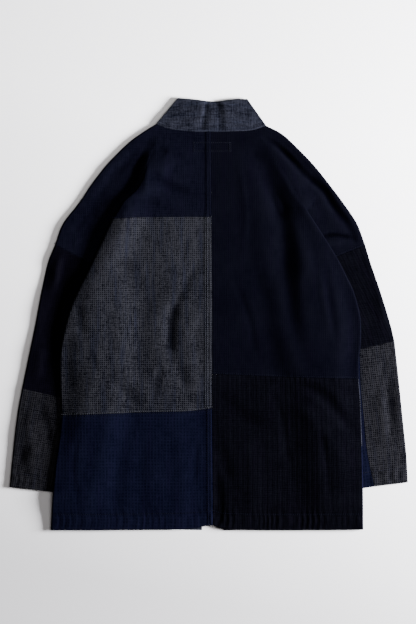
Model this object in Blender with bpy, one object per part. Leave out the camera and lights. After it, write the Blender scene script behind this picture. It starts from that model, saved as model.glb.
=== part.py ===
"""A patched indigo work jacket, laid flat on its front with the back up.

The body is a flattened tube of back and front panels, the sleeves are flattened tubes
that come down beside it and pass under its side edges, and a folded collar band runs
round the neck and down both open fronts. Lengths in the tables are millimetres, with
+X to the right, +Y to the collar and +Z up from the surface that the jacket lies on.
"""
import math

import bmesh
import bpy
import numpy as np

MM = 0.001

# Thicknesses and heights.
CLOTH = 1.6                 # wall of the body and sleeves
BAND_CLOTH = 2.4            # folded collar band, pressed flat
SEAM_GAP = 0.3
BODY_RISE = 7.0             # back over front, which leaves 3.8 inside the body
SLEEVE_RISE = 7.0           # the same for a sleeve
SLEEVE_LIFT = 7.6           # what the body climbs to pass over a sleeve
HEM_LIFT = 0.15             # share of that climb which is left at the hem
LEAST_STACK = 4.8           # two walls and the air between them
STEEPEST = 1.5              # most that a sloping wall may grow when measured straight down
COLLAR_FOLD = 1.95          # radius of the collar's top fold
COLLAR_BOW = 0.8

# Where the body climbs, and over what lengths.
RAMP = 22.0
NECK_Y, CREST_LENGTH = 370.0, 150.0      # the shoulder folds grow downward from the neck
FRONT_CLIMB_Y, FRONT_CLIMB = 90.0, 28.0  # the fronts start to climb below the armholes
HEM_Y, HEM_SETTLE = -418.0, 70.0         # below the cuffs the body settles again
TUCK_Y = 60.0                            # above it the side edges are rolled without the fronts
TUCK_ROLL, CREST_ROLL = 7.2, 7.0         # heights of that roll on a sleeve and on the shoulder
TUCK_HEIGHT = 13.0
FRONT_LIFTS = 70.0                       # below it the fronts climb over the sleeves
FRONT_JOINS = 22.0                       # below it the fronts reach the side edges
FRONT_PATCH = -244.0                     # seam between the right front's lower patches
FRONT_BREAKS = (0.35, 0.5)               # shares of a level row's length at its inner columns
BLEND = 12.0                             # the shoulder falls from its fold to the cap in this
SHOWN_FROM, SHOWN_OVER = 5.0, 14.0       # a sleeve's folds start this far outside the body

# Sewn detail.
HEM_DEPTH = 29.0
HEM_EXTRA = 0.6
FELL_X, FELL_WIDTH, FELL_RISE = 7.0, 12.0, 1.1   # centre seam, left half over right
RIB_PITCH = 9.6
RIB_HEIGHT = 0.9
RIBBED_BACK = 286.0         # ribbed width of the back, and of the sleeve beside the body
RIBBED_SLEEVE, HIDDEN_SLEEVE = 76.8, 58.0

# Side seams, as angles up from the level on the roll of a side edge.
TUCKED = -80.0              # the back's edge is tucked right under
RIGHT_TURN = 50.0           # the right side seam shows on top of its rolled edge
LEVEL = 0.0                 # a side seam halfway down the roll

# How finely the cloth is divided.
ROLL_STEPS = 3
BODY_COLUMNS = 13
CAP_SHARES = (0.0, 0.06, 0.14, 0.26, 0.51, 0.75, 1.0)
CREST_ROWS, FOOT_ROWS = 7, 5
YOKE_ROWS, MIDDLE_ROWS, LOWER_ROWS, UPPER_ROWS = 3, 15, 9, 13
BAND_ROWS, BAND_COLUMNS = 15, 4
COLLAR_COLUMNS, COLLAR_STEPS = 17, 5

# Plan lines, each a row of (x, y) points that a smooth curve runs through.
CREST_LEFT = [(-74, 361), (-93, 339), (-113, 310), (-126, 285), (-144, 250), (-163, 220)]
CREST_RIGHT = [(86, 358), (106, 339), (125, 310), (151, 273), (176, 230), (190, 207)]
EDGE_LEFT_YOKE = [(-163, 220), (-185, 185)]
EDGE_LEFT_MIDDLE = [(-185, 185), (-201, 150), (-230, 88), (-261, 25), (-278, -29),
                    (-287, -82), (-287, -129), (-285, -197)]
EDGE_LEFT_LOWER = [(-285, -197), (-290, -238), (-298, -285), (-306, -343), (-310, -418)]
EDGE_RIGHT_UPPER = [(190, 207), (223, 156), (252, 109), (272, 70), (285, 41), (297, -6),
                    (298, -55), (294, -90), (294, -126)]
EDGE_RIGHT_LOWER = [(294, -126), (297, -168), (299, -218), (301, -285), (301, -343), (299, -417)]
FOOT_LEFT = [(-163, 220), (-166, 194), (-183, 160), (-196, 125), (-210, 92)]
FOOT_RIGHT = [(190, 207), (190, 182), (203, 152), (209, 125), (211, 92)]
SHOULDER_LEFT = [(-99, 369), (-128, 353), (-157, 332), (-196, 292), (-226, 254)]
SHOULDER_LEFT_END = [(-226, 254), (-253, 214), (-282, 176), (-298, 134)]
SHOULDER_RIGHT = [(114, 367), (143, 352), (166, 332), (205, 292), (236, 254)]
SHOULDER_RIGHT_END = [(236, 254), (266, 214), (291, 176), (307, 134)]
ARMHOLE_LEFT = [(-210, 92), (-254, 112), (-298, 134)]
ARMHOLE_RIGHT = [(211, 92), (259, 115), (307, 134)]
CENTRE_UPPER = [(6, 355), (7, 189)]
CENTRE_MIDDLE = [(7, 189), (8, 27), (8, -183)]
CENTRE_LOWER = [(8, -183), (9, -304), (10, -408)]
CENTRE_RIGHT_UPPER = [(6, 355), (7, 189), (8, 27), (8, -117)]
CENTRE_RIGHT_LOWER = [(8, -117), (8, -187), (9, -304), (10, -408)]
YOKE_SEAM = [(-185, 185), (-132, 188), (-54, 189), (7, 189)]
MIDDLE_SEAM = [(-285, -197), (-220, -195), (-144, -192), (-40, -189), (8, -183)]
RIGHT_SEAM = [(294, -126), (180, -124), (82, -120), (8, -117)]
HEM_LEFT = [(-310, -418), (-210, -418), (-113, -417), (-35, -415), (-7, -410), (10, -408)]
HEM_RIGHT = [(299, -417), (199, -418), (102, -418), (32, -416), (10, -408)]
BAND_SEAM_LEFT = [(-99, 369), (-83, 320), (-70, 252), (-66, 27), (-70, -420)]
BAND_SEAM_RIGHT = [(114, 367), (106, 320), (92, 252), (90, 27), (92, -420)]
BAND_EDGE_LEFT = [(-56, 416), (-35, 369), (-17, 281), (-11, 222), (-11, -421)]
BAND_EDGE_RIGHT = [(77, 415), (57, 369), (39, 281), (32, 222), (31, -422)]
COLLAR_TOP = [(-56, 421), (-25, 418), (12, 414), (47, 418), (77, 419)]
COLLAR_FOOT = [(-99, 369), (-74, 361), (-35, 356), (6, 355), (47, 356), (86, 358), (114, 367)]
SLEEVE_LEFT_OUT = [(-298, 134), (-313, 98), (-327, 39), (-339, -20), (-352, -78), (-367, -145)]
SLEEVE_LEFT_IN = [(-210, 92), (-187, 27), (-187, -70), (-202, -183)]
SLEEVE_LEFT_SEAM = [(-367, -145), (-290, -162), (-202, -183)]
CUFF_LEFT_OUT = [(-367, -145), (-376, -195), (-384, -273), (-390, -335)]
CUFF_LEFT_IN = [(-202, -183), (-241, -353)]
CUFF_LEFT = [(-390, -335), (-308, -345), (-241, -353)]
SLEEVE_RIGHT_OUT = [(307, 134), (318, 98), (338, 39), (355, -20), (363, -53)]
SLEEVE_RIGHT_IN = [(211, 92), (192, 27), (195, -90)]
SLEEVE_RIGHT_SEAM = [(363, -53), (295, -69), (195, -90)]
CUFF_RIGHT_OUT = [(363, -53), (373, -136), (381, -214), (387, -273), (390, -328)]
CUFF_RIGHT_IN = [(195, -90), (215, -168), (240, -349)]
BLUE_SEAM = [(295, -69), (298, -148), (304, -207), (307, -246), (314, -291), (324, -336)]
GREY_TOP = [(363, -53), (295, -69)]
GREY_CUFF = [(390, -328), (324, -336)]
BLUE_TOP = [(195, -90), (295, -69)]
BLUE_CUFF = [(240, -349), (324, -336)]

# How far the layers under the body reach: y, x. Above the armholes it is the shoulder fold.
UNDER_LEFT = [(361, -78), (339, -99), (310, -119), (285, -132), (250, -150), (220, -168),
              (190, -166), (160, -175), (125, -188), (96, -202), (62, -190), (27, -179),
              (-70, -179), (-183, -194), (-353, -233), (-420, -240)]
UNDER_RIGHT = [(358, 92), (339, 112), (310, 131), (273, 157), (230, 182), (207, 196),
               (180, 189), (152, 195), (125, 201), (96, 200), (62, 184), (27, 180),
               (-90, 187), (-168, 207), (-349, 232), (-420, 240)]

# Hidden side lines of the fronts: the y that their rows reach at the band, from the neck down
# to the armhole, and then the rows to the side edge as side x, side y, y at the band.
FRONT_TOP = (350.0, 168.0)
FRONT_LEFT_TURN = [(-292, 132, 158), (-254, 113, 144), (-210, 93, 118), (-193, 84, 100),
                   (-179, 62, 80), (-183, 35, 58), (-205, 18, 38)]
FRONT_RIGHT_TURN = [(301, 132, 158), (259, 116, 142), (211, 93, 118), (194, 84, 100),
                    (172, 62, 78), (170, 44, 62), (184, 32, 50), (216, 25, 40)]

# Large folds: half-width, height (below zero for a trough), then the points of its line.
BODY_FOLDS = [
    (13, -2.8, [(-15, 101), (-68, -8), (-68, -66), (-42, -152)]),
    (15, 2.2, [(-45, 101), (-98, -8), (-98, -66), (-72, -160)]),
    (14, 1.6, [(18, 60), (-34, -20), (-34, -80), (-12, -160)]),
    (12, -2.6, [(-187, -125), (-140, -164)]),
    (16, 1.5, [(-200, -85), (-128, -135)]),
    (20, -1.2, [(-113, 144), (-109, -51)]),
    (12, -3.0, [(-249, 8), (-244, -41)]),
    (14, 1.8, [(-218, 60), (-210, -60), (-225, -150)]),
    (15, -3.0, [(118, 300), (142, 235), (153, 165), (146, 101)]),
    (15, -2.0, [(146, 101), (160, 40), (176, -16), (188, -55)]),
    (15, 1.6, [(95, 220), (115, 110), (140, -20), (165, -100)]),
    (14, -1.5, [(92, 86), (121, 27)]),
    (12, -3.0, [(164, -124), (219, -150), (270, -209), (287, -226)]),
    (14, 2.0, [(120, -150), (190, -190), (250, -260), (262, -340)]),
    (11, -2.0, [(14, -138), (55, -183), (110, -213)]),
    (11, -2.0, [(18, -248), (32, -289), (45, -328)]),
    (9, -2.2, [(18, -300), (22, -410)]),
    (14, 1.8, [(75, -230), (90, -320), (88, -410)]),
    (12, -1.5, [(-87, 300), (-118, 318)]),
    (12, -1.2, [(-113, 265), (-54, 238)]),
    (18, 1.2, [(-200, -230), (-190, -330), (-200, -415)]),
    (16, -1.4, [(-120, -240), (-128, -320), (-118, -400)]),
    (14, 1.3, [(-60, -220), (-48, -330), (-55, -410)]),
]
CAP_FOLDS = [
    (9, -2.0, [(120, 352), (135, 345), (180, 306), (229, 248), (266, 197), (279, 154)]),
    (8, -1.4, [(227, 152), (273, 152)]),
    (9, -1.4, [(-120, 340), (-150, 306), (-205, 240), (-222, 205)]),
    (10, 1.4, [(-150, 270), (-200, 205), (-232, 160)]),
]
SLEEVE_FOLDS = [
    (9, 2.2, [(-292, 108), (-296, 60)]),
    (8, -1.6, [(-309, 100), (-318, 40)]),
    (10, 1.8, [(-320, -60), (-332, -130)]),
    (9, -1.8, [(-327, -168), (-300, -262)]),
    (10, 1.8, [(-352, -190), (-338, -290)]),
    (9, -1.5, [(-372, -300), (-345, -250)]),
    (9, -1.6, [(352, -120), (362, -230)]),
    (10, 1.8, [(336, -130), (346, -260)]),
    (9, 1.6, [(330, 60), (348, -30)]),
]

ROUGHNESS = 0.9
COLOURS = {
    "navy": (0.0045, 0.0052, 0.0115),
    "grey": (0.0230, 0.0245, 0.0320),
    "blue": (0.0060, 0.0095, 0.0220),
    "ribbed": (0.0028, 0.0028, 0.0050),
    "collar": (0.0220, 0.0245, 0.0360),
}


def smooth_step(value):
    """Ease from 0 to 1 as the value goes from 0 to 1."""
    value = np.clip(value, 0.0, 1.0)
    return value * value * (3.0 - 2.0 * value)


def curve(points, count):
    """Points evenly spaced by length on a smooth curve through the given ones."""
    given = np.array(points, float)
    ends = np.vstack([2 * given[0] - given[1], given, 2 * given[-1] - given[-2]])
    steps = np.linspace(0.0, 1.0, 9)[:, None]
    pieces = []
    for before, start, end, after in zip(ends, ends[1:], ends[2:], ends[3:]):
        turn_in, turn_out = (end - before) / 2, (after - start) / 2
        bend = (steps**3 - 2 * steps**2 + steps) * turn_in + (steps**3 - steps**2) * turn_out
        pieces.append(start + (3 * steps**2 - 2 * steps**3) * (end - start) + bend)
    return by_length(np.vstack(pieces), np.linspace(0.0, 1.0, count), 0.0, 0.0)


def run_lengths(line):
    """Length of a line from its start to each of its points."""
    return np.concatenate([[0.0], np.cumsum(np.linalg.norm(np.diff(line, axis=0), axis=1))])


def by_length(line, shares, start, end):
    """Points at shares of a line's length, between an inset at its start and one at its end."""
    runs = run_lengths(line)
    at = start + (runs[-1] - start - end) * np.asarray(shares)
    return np.stack([np.interp(at, runs, line[:, axis]) for axis in (0, 1)], axis=1)


def neck_line(start, end):
    """The stretch of the collar seam between two x, in that order."""
    whole = curve(COLLAR_FOOT, 240)
    xs = np.linspace(start, end, 25)
    return np.column_stack([xs, np.interp(xs, whole[:, 0], whole[:, 1])])


def patch(top, bottom, start, end):
    """Rows of plan points between four boundary lines; start and end give one point a row."""
    across = np.linspace(0.0, 1.0, 13)
    top_line, bottom_line = curve(top, len(across)), curve(bottom, len(across))
    rows = []
    for index, (first, last) in enumerate(zip(start, end)):
        down = index / (len(start) - 1)
        edge = (1 - down) * top_line + down * bottom_line
        rows.append(edge + np.outer(1 - across, first - edge[0]) + np.outer(across, last - edge[-1]))
    return rows


def fold_height(folds, x, y):
    """Height that a table of folds adds at x, y."""
    total = np.zeros_like(x)
    for half_width, height, line in folds:
        nearest = np.full_like(x, np.inf)
        for (x0, y0), (x1, y1) in zip(line, line[1:]):
            run = np.array([x1 - x0, y1 - y0], float)
            share = np.clip(((x - x0) * run[0] + (y - y0) * run[1]) / run.dot(run), 0.0, 1.0)
            nearest = np.minimum(nearest, (x - x0 - share * run[0])**2 + (y - y0 - share * run[1])**2)
        total += height * np.exp(-nearest / half_width**2)
    return total


def reach(table, y):
    """The x that a table of (y, x) rows gives at y."""
    ys, xs = zip(*table[::-1])
    return np.interp(y, ys, xs)


def climb(x, y):
    """Share of the sleeve's height that the body has climbed at x, y."""
    left = smooth_step((reach(UNDER_LEFT, y) + RAMP - x) / RAMP)
    right = smooth_step((x - reach(UNDER_RIGHT, y) + RAMP) / RAMP)
    below_cuff = HEM_LIFT + (1 - HEM_LIFT) * smooth_step((y - HEM_Y) / HEM_SETTLE)
    return (left + right) * below_cuff


def front_height(x, y):
    """Height of the fronts' outer face, which is their underside."""
    return SLEEVE_LIFT * climb(x, y) * smooth_step((FRONT_CLIMB_Y - y) / FRONT_CLIMB)


def back_height(x, y):
    """Height of the back's outer face, which is its top."""
    climbed = climb(x, y) * smooth_step((NECK_Y - y) / CREST_LENGTH)
    height = BODY_RISE + SLEEVE_LIFT * climbed + fold_height(BODY_FOLDS, x, y)
    height += HEM_EXTRA * smooth_step((HEM_Y + HEM_DEPTH - y) / 3.0)
    return np.maximum(height, front_height(x, y) + LEAST_STACK)


def left_back_height(x, y):
    """Back height on the left half, whose centre edge laps over the right half."""
    return back_height(x, y) + FELL_RISE * smooth_step((x - FELL_X + FELL_WIDTH) / 4.0)


def cap_height(x, y):
    """Height of the shoulder beyond the fold."""
    below_neck = smooth_step((NECK_Y - y) / (CREST_LENGTH / 2))
    return SLEEVE_RISE + below_neck * fold_height(CAP_FOLDS, x, y)


def level_height(x, y):
    """Height of a face that lies on the surface."""
    return np.zeros_like(x)


def beyond_body(x, y):
    """Distance outside the body's side edge."""
    left = [(point[1], -point[0]) for point in EDGE_LEFT_MIDDLE + EDGE_LEFT_LOWER[1:]]
    right = [(point[1], point[0]) for point in EDGE_RIGHT_UPPER + EDGE_RIGHT_LOWER[1:]]
    return np.abs(x) - np.where(x < 0, reach(left, y), reach(right, y))


def sleeve_height(x, y):
    """Height of a sleeve's upper face, level wherever the body lies on it."""
    shown = smooth_step((beyond_body(x, y) - SHOWN_FROM) / SHOWN_OVER)
    return SLEEVE_RISE + shown * fold_height(SLEEVE_FOLDS, x, y)


def upright_wall(height, x, y, wall=CLOTH):
    """Wall thickness measured straight down, so that a sloping wall keeps its thickness."""
    across = (height(x + 1.0, y) - height(x - 1.0, y)) / 2
    along = (height(x, y + 1.0) - height(x, y - 1.0)) / 2
    return wall * np.minimum(np.sqrt(1 + across**2 + along**2), STEEPEST)


def laid(plan, height, side, wall=CLOTH, raised=0.0):
    """Outer and inner points of one row on a height; side is +1 for an upper face, -1 for a lower."""
    x, y = plan[:, 0], plan[:, 1]
    z = height(x, y)
    outer = np.column_stack([x, y, z + side * raised])
    inner = np.column_stack([x, y, z - side * upright_wall(height, x, y, wall)])
    return outer, inner


def rolled(edge, inward, middle, radius, angles, wall=CLOTH):
    """Outer and inner points on the round of an edge, for angles up from the level."""
    cos, sin = np.cos(np.radians(angles)), np.sin(np.radians(angles))
    walls = []
    for size in (radius, radius - wall):
        plan = edge + np.outer(radius - size * cos, inward)
        walls.append(np.column_stack([plan, middle + size * sin]))
    return walls


class Sheet:
    """A wall of cloth, held as pairs of an outer and an inner point and the faces between them."""

    def __init__(self):
        self.outer, self.inner, self.numbers, self.faces = [], [], {}, []

    def number(self, outer, inner):
        """The number of a pair of points, which is shared where two grids meet."""
        key = tuple(np.round(outer, 3))
        if key not in self.numbers:
            self.numbers[key] = len(self.outer)
            self.outer.append(outer)
            self.inner.append(inner)
        return self.numbers[key]

    def add(self, rows, ring=False):
        """Add a grid of rows, each a pair of outer and inner point lists."""
        table = [[self.number(out, inn) for out, inn in zip(*row)] for row in rows]
        for above, below in zip(table, table[1:]):
            count = len(above)
            for column in range(count if ring else count - 1):
                after = (column + 1) % count
                face = (above[column], above[after], below[after], below[column])
                self.faces.append(face)

    def build(self, name, colour):
        """Make the closed solid and its object."""
        mesh = bmesh.new()
        count = len(self.outer)
        points = [mesh.verts.new(np.array(point) * MM) for point in self.outer + self.inner]
        edges = {}
        for face in self.faces:
            first, second, third, fourth = (self.outer[corner] for corner in face)
            turned = np.linalg.norm(third - first) > np.linalg.norm(fourth - second)
            corners = face[1:] + face[:1] if turned else face
            for half in (corners[:3], corners[2:] + corners[:1]):
                mesh.faces.new([points[corner] for corner in half])
                mesh.faces.new([points[corner + count] for corner in reversed(half)])
            for pair in zip(face, face[1:] + face[:1]):
                edges[pair] = True
        for start, end in edges:
            if (end, start) not in edges:
                mesh.faces.new([points[end], points[start], points[start + count], points[end + count]])
        bmesh.ops.triangulate(mesh, faces=mesh.faces)
        bmesh.ops.recalc_face_normals(mesh, faces=mesh.faces)
        data = bpy.data.meshes.new(name)
        mesh.to_mesh(data)
        mesh.free()
        data.shade_smooth()
        data.materials.append(cloth_material(colour))
        made = bpy.data.objects.new(name, data)
        bpy.context.scene.collection.objects.link(made)
        return made


def cloth_material(colour):
    """The plain material of one kind of cloth, made once."""
    material = bpy.data.materials.get(colour)
    if material is None:
        material = bpy.data.materials.new(colour)
        material.use_nodes = True
        shader = material.node_tree.nodes["Principled BSDF"]
        shader.inputs["Base Color"].default_value = (*COLOURS[colour], 1.0)
        shader.inputs["Roughness"].default_value = ROUGHNESS
        shader.inputs["Metallic"].default_value = 0.0
    return material


def joined(*parts):
    """Put stretches of one row end to end, as a pair of outer and inner points."""
    return tuple(np.vstack([part[face] for part in parts]) for face in (0, 1))


def between_seams(plan, above, below):
    """Move the first and last rows of a panel off its seams by half the gap."""
    rows = [np.array(row) for row in plan]
    if above:
        rows[0][:, 1] -= SEAM_GAP / 2
    if below:
        rows[-1][:, 1] += SEAM_GAP / 2
    return rows


def edge_round(row):
    """Where a body row's side edge turns over: edge, inward direction, middle height, radius."""
    edge = row[0]
    inward = np.array([math.copysign(1.0, row[-1][0] - edge[0]), 0.0])
    x, y = edge[:1], edge[1:2]
    top, bottom = back_height(x, y)[0], front_height(x, y)[0]
    if y[0] > TUCK_Y:
        bottom = max(bottom, top - (TUCK_ROLL if top > TUCK_HEIGHT else CREST_ROLL))
    return edge, inward, (top + bottom) / 2, (top - bottom) / 2


def back_row(row, columns, height, turn, shown, raised=0.0):
    """One row of a back panel: the round of its side edge, then the panel to its far side."""
    edge, inward, middle, radius = edge_round(row)
    flat_plan = by_length(row, columns, radius, SEAM_GAP / 2)
    gap = math.degrees(SEAM_GAP / radius)
    angles = np.linspace(turn + gap, 90.0, ROLL_STEPS + 1)[:-1]
    round_part = rolled(edge, inward, middle, radius, angles)
    if shown < 1.0:
        level_plan = edge + np.outer(radius - radius * np.cos(np.radians(angles)), inward)
        level_part = laid(level_plan, height, 1)
        round_part = [shown * bent + (1 - shown) * level for bent, level in zip(round_part, level_part)]
    return joined(round_part, laid(flat_plan, height, 1, raised=raised))


def cap_rows(inner_line, outline, neck, armhole, crest_pairs):
    """Rows of the shoulder cap, from its rolled outline in to the body's fold."""
    plan = patch(neck, armhole, inner_line, outline)
    plan = between_seams(plan, False, True)
    radius = SLEEVE_RISE / 2
    gap = math.degrees(SEAM_GAP / 2 / radius)
    rows = []
    for index, row in enumerate(plan):
        inward = (row[-2] - row[-1]) / np.linalg.norm(row[-2] - row[-1])
        flat = by_length(row, CAP_SHARES, 0.0, radius)
        outer, inner = laid(flat, cap_height, 1)
        if index < len(crest_pairs):
            start_outer, start_inner = crest_pairs[index]
            away = np.linalg.norm(flat - flat[0], axis=1)
            fall = (start_outer[2] - outer[0, 2]) * (1 - smooth_step(away / BLEND))
            outer[:, 2] += fall
            inner[:, 2] += fall
            outer[0], inner[0] = start_outer, start_inner
        angles = np.linspace(90.0, gap, ROLL_STEPS + 1)[1:]
        whole = joined((outer, inner), rolled(row[-1], inward, radius, radius, angles))
        rows.append(tuple(face[::-1] for face in whole))
    return rows


def stations(*lines_and_counts):
    """Side stations of consecutive lines, with the shared ends kept once."""
    found = None
    for line, count in lines_and_counts:
        points = curve(line, count)
        found = points if found is None else np.vstack([found, points[1:]])
    return found


def tucked_turn(y):
    """Angle at which the back's side edge ends, which is tucked under above the fronts' edge."""
    return TUCKED if y > FRONT_JOINS else LEVEL


def level_turn(y):
    """Angle at which the back ends where the side seam lies halfway down the roll."""
    return LEVEL


def right_turn(y):
    """Angle at which the ribbed panel ends, where the front's edge shows beside it."""
    return RIGHT_TURN


class Shoulder:
    """The lines of one half's upper back panel and of its shoulder cap."""

    def __init__(self, crest, edge, edge_rows, foot, centre, seam, shoulder, shoulder_end, armhole):
        self.side = stations((crest, CREST_ROWS), (edge, edge_rows))
        self.centre = curve(centre, len(self.side))
        self.outline = stations((shoulder, CREST_ROWS), (shoulder_end, FOOT_ROWS))
        self.inner_line = np.vstack([self.side[:CREST_ROWS], curve(foot, FOOT_ROWS)[1:]])
        self.seam, self.armhole = seam, armhole

    def body_rows(self, height):
        """Rows from the shoulder fold and side edge in to the centre seam."""
        neck = neck_line(self.side[0, 0], self.centre[0, 0])
        plan = between_seams(patch(neck, self.seam, self.side, self.centre), False, True)
        columns = np.linspace(0.0, 1.0, BODY_COLUMNS)
        rows = []
        for index, row in enumerate(plan):
            past_crest = index - CREST_ROWS + 1
            shown = float(smooth_step(index / 3.0)) if past_crest <= 0 else 1.0
            turn = tucked_turn(self.side[index, 1]) * min(max(past_crest, 0) / 2, 1.0)
            rows.append(back_row(row, columns, height, turn, shown))
        return rows

    def build(self, name, colour, height):
        """Make the panel and its cap as one piece of cloth."""
        sheet, rows = Sheet(), self.body_rows(height)
        sheet.add(rows)
        pairs = [(row[0][0], row[1][0]) for row in rows[:CREST_ROWS]]
        neck = neck_line(self.side[0, 0], self.outline[0, 0])
        sheet.add(cap_rows(self.inner_line, self.outline, neck, self.armhole, pairs))
        return sheet.build(name, colour)


def build_back_panel(name, colour, lines, height, turn, columns, raised=0.0):
    """A back panel below the shoulder, from its side edge to the centre seam."""
    top, bottom, side, centre = lines
    is_hem = bottom in (HEM_LEFT, HEM_RIGHT)
    plan = between_seams(patch(top, bottom, side, centre), True, not is_hem)
    sheet = Sheet()
    rows = zip(plan, side)
    sheet.add([back_row(row, columns, height, turn(point[1]), 1.0, raised) for row, point in rows])
    return sheet.build(name, colour)


def front_rows(hand, outline, turn_table, side, band, turn):
    """Rows of a front, from its outline, armhole and side edge to the band seam."""
    band_xs, band_ys = np.array(band[::-1]).T
    under = UNDER_LEFT if hand < 0 else UNDER_RIGHT
    listed = [(point, y, True) for point, y in zip(outline, np.linspace(*FRONT_TOP, len(outline)))]
    listed += [(np.array(entry[:2], float), entry[2], False) for entry in turn_table]
    listed += [(point, point[1], True) for point in side]
    rows = []
    for start, y, is_rolled in listed:
        finish = np.array([np.interp(y, band_ys, band_xs) + hand * SEAM_GAP / 2, y])
        length = np.linalg.norm(finish - start)
        inward = (finish - start) / length
        middle = radius = SLEEVE_RISE / 2
        seam, breaks = LEVEL, tuple(length * share for share in FRONT_BREAKS)
        if start[1] < FRONT_LIFTS:
            climb_start = max(hand * (start[0] - reach(under, start[1])), radius + 2.0)
            breaks = (climb_start, climb_start + RAMP)
        if is_rolled and start[1] < FRONT_LIFTS:
            _, _, middle, radius = edge_round(np.array([start, finish]))
            seam = turn
        angles = np.linspace(seam - math.degrees(SEAM_GAP / 2 / radius), -90.0, ROLL_STEPS + 1)[:-1]
        middle_columns = np.linspace(*breaks, 4)
        distances = np.concatenate([[radius], middle_columns, [(breaks[1] + length) / 2, length]])
        flat = laid(start + np.outer(distances, inward), front_height, -1)
        if is_rolled:
            round_part = rolled(start, inward, middle, radius, angles)
        else:
            plan = start + np.outer(radius - radius * np.cos(np.radians(angles)), inward)
            round_part = laid(plan, front_height, -1)
        rows.append(joined(round_part, flat))
    return rows


def build_front(name, colour, rows, gaps):
    """One front panel, made of some of the front's rows."""
    above, below = gaps
    chosen = [tuple(np.array(face) for face in row) for row in rows]
    for face in (0, 1):
        chosen[0][face][:, 1] -= above * SEAM_GAP / 2
        chosen[-1][face][:, 1] += below * SEAM_GAP / 2
    sheet = Sheet()
    sheet.add(chosen)
    return sheet.build(name, colour)


def build_band(name, seam, edge):
    """One front band, a folded strip that lies along the open front edge."""
    shift = math.copysign(SEAM_GAP / 2, seam[0][0])
    rows = []
    for start, end in zip(curve(seam, BAND_ROWS), curve(edge, BAND_ROWS)):
        row = np.linspace(start - (shift, 0.0), end, BAND_COLUMNS)
        rows.append(laid(row, level_height, -1, BAND_CLOTH))
    sheet = Sheet()
    sheet.add(rows)
    return sheet.build(name, "collar")


def collar_section(low, high, share):
    """One section of the collar: outer layer, top fold and the inner layer back down."""
    steps = np.linspace(0.0, 1.0, COLLAR_STEPS)
    inward = (low - high) / np.linalg.norm(high - low)
    over_band = 1 - float(smooth_step((min(share, 1 - share) - 0.37) / 0.08))
    bottom = (BAND_CLOTH + SEAM_GAP) * over_band
    seam_height = back_height(low[:1], low[1:])[0]
    top = high + inward * COLLAR_FOLD
    upper = np.linspace(low, top, COLLAR_STEPS)
    heights = seam_height + (bottom + 2 * COLLAR_FOLD - seam_height) * steps
    heights += COLLAR_BOW * math.sin(math.pi * share) * np.sin(math.pi * steps)
    lower = np.linspace(top, low - 4.0 * inward, COLLAR_STEPS)
    outer_layer = [np.column_stack([upper, heights - depth]) for depth in (0.0, CLOTH)]
    arc = rolled(high, inward, bottom + COLLAR_FOLD, COLLAR_FOLD, np.linspace(60.0, -60.0, 3))
    level = np.full(len(lower), bottom)
    inner_layer = [np.column_stack([lower, level + depth]) for depth in (0.0, CLOTH)]
    return joined(outer_layer, arc, inner_layer)


def build_collar():
    """The collar band at the back of the neck, folded along its top edge."""
    foot, top = curve(COLLAR_FOOT, COLLAR_COLUMNS), curve(COLLAR_TOP, COLLAR_COLUMNS)
    shares = np.linspace(0.0, 1.0, COLLAR_COLUMNS)
    clear = np.array([0.0, 1.5 * SEAM_GAP])
    sheet = Sheet()
    sheet.add([collar_section(low + clear, high, share) for low, high, share in zip(foot, top, shares)])
    return sheet.build("collar", "collar")


def tube_row(row, columns, ring, raised):
    """One section of a flattened sleeve, all round it or open where another piece goes on."""
    radius = SLEEVE_RISE / 2
    away = (row[1] - row[0]) / np.linalg.norm(row[1] - row[0])
    back = (row[-2] - row[-1]) / np.linalg.norm(row[-2] - row[-1])
    end_inset = radius if ring else SEAM_GAP / 2
    top_plan = by_length(row, columns, radius, end_inset)
    bottom_plan = by_length(row, np.linspace(1.0, 0.0, 5), radius, end_inset)
    raised = raised * smooth_step(beyond_body(*top_plan.T) / SHOWN_OVER)
    top = laid(top_plan, sleeve_height, 1, raised=raised)
    bottom = laid(bottom_plan, level_height, -1)
    steps = np.linspace(-90.0, 90.0, 2 * ROLL_STEPS + 1)[1:-1]
    near = rolled(row[0], away, radius, radius, steps)
    if ring:
        far = rolled(row[-1], back, radius, radius, steps[::-1])
        return joined(top, far, bottom, near)
    return joined(bottom, near, top)


def build_sleeve(name, colour, lines, count, columns, ring=True, raised=0.0):
    """One piece of a sleeve between an upper seam and a lower seam or the cuff."""
    top, bottom, start, end = lines
    plan = patch(top, bottom, curve(start, count), curve(end, count))
    plan[0] = plan[0] - (0.0, 1.2 * SEAM_GAP)
    if bottom not in (CUFF_LEFT, GREY_CUFF, BLUE_CUFF):
        plan[-1] = plan[-1] + (0.0, SEAM_GAP / 2)
    sheet = Sheet()
    sheet.add([tube_row(row, columns, ring, raised) for row in plan], ring)
    return sheet.build(name, colour)


def ribbed_columns(width, plain_width=0.0):
    """Column shares and raised heights for ribs across a width, and then a plain stretch."""
    ribs = round(width / RIB_PITCH)
    edge = width / (width + plain_width)
    shares = np.linspace(0.0, edge, 2 * ribs + 1)
    raised = RIB_HEIGHT * (np.arange(len(shares)) % 2)
    if plain_width:
        shares = np.append(shares, np.linspace(edge, 1.0, 4)[1:])
        raised = np.append(raised, np.zeros(3))
    return shares, raised


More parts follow.
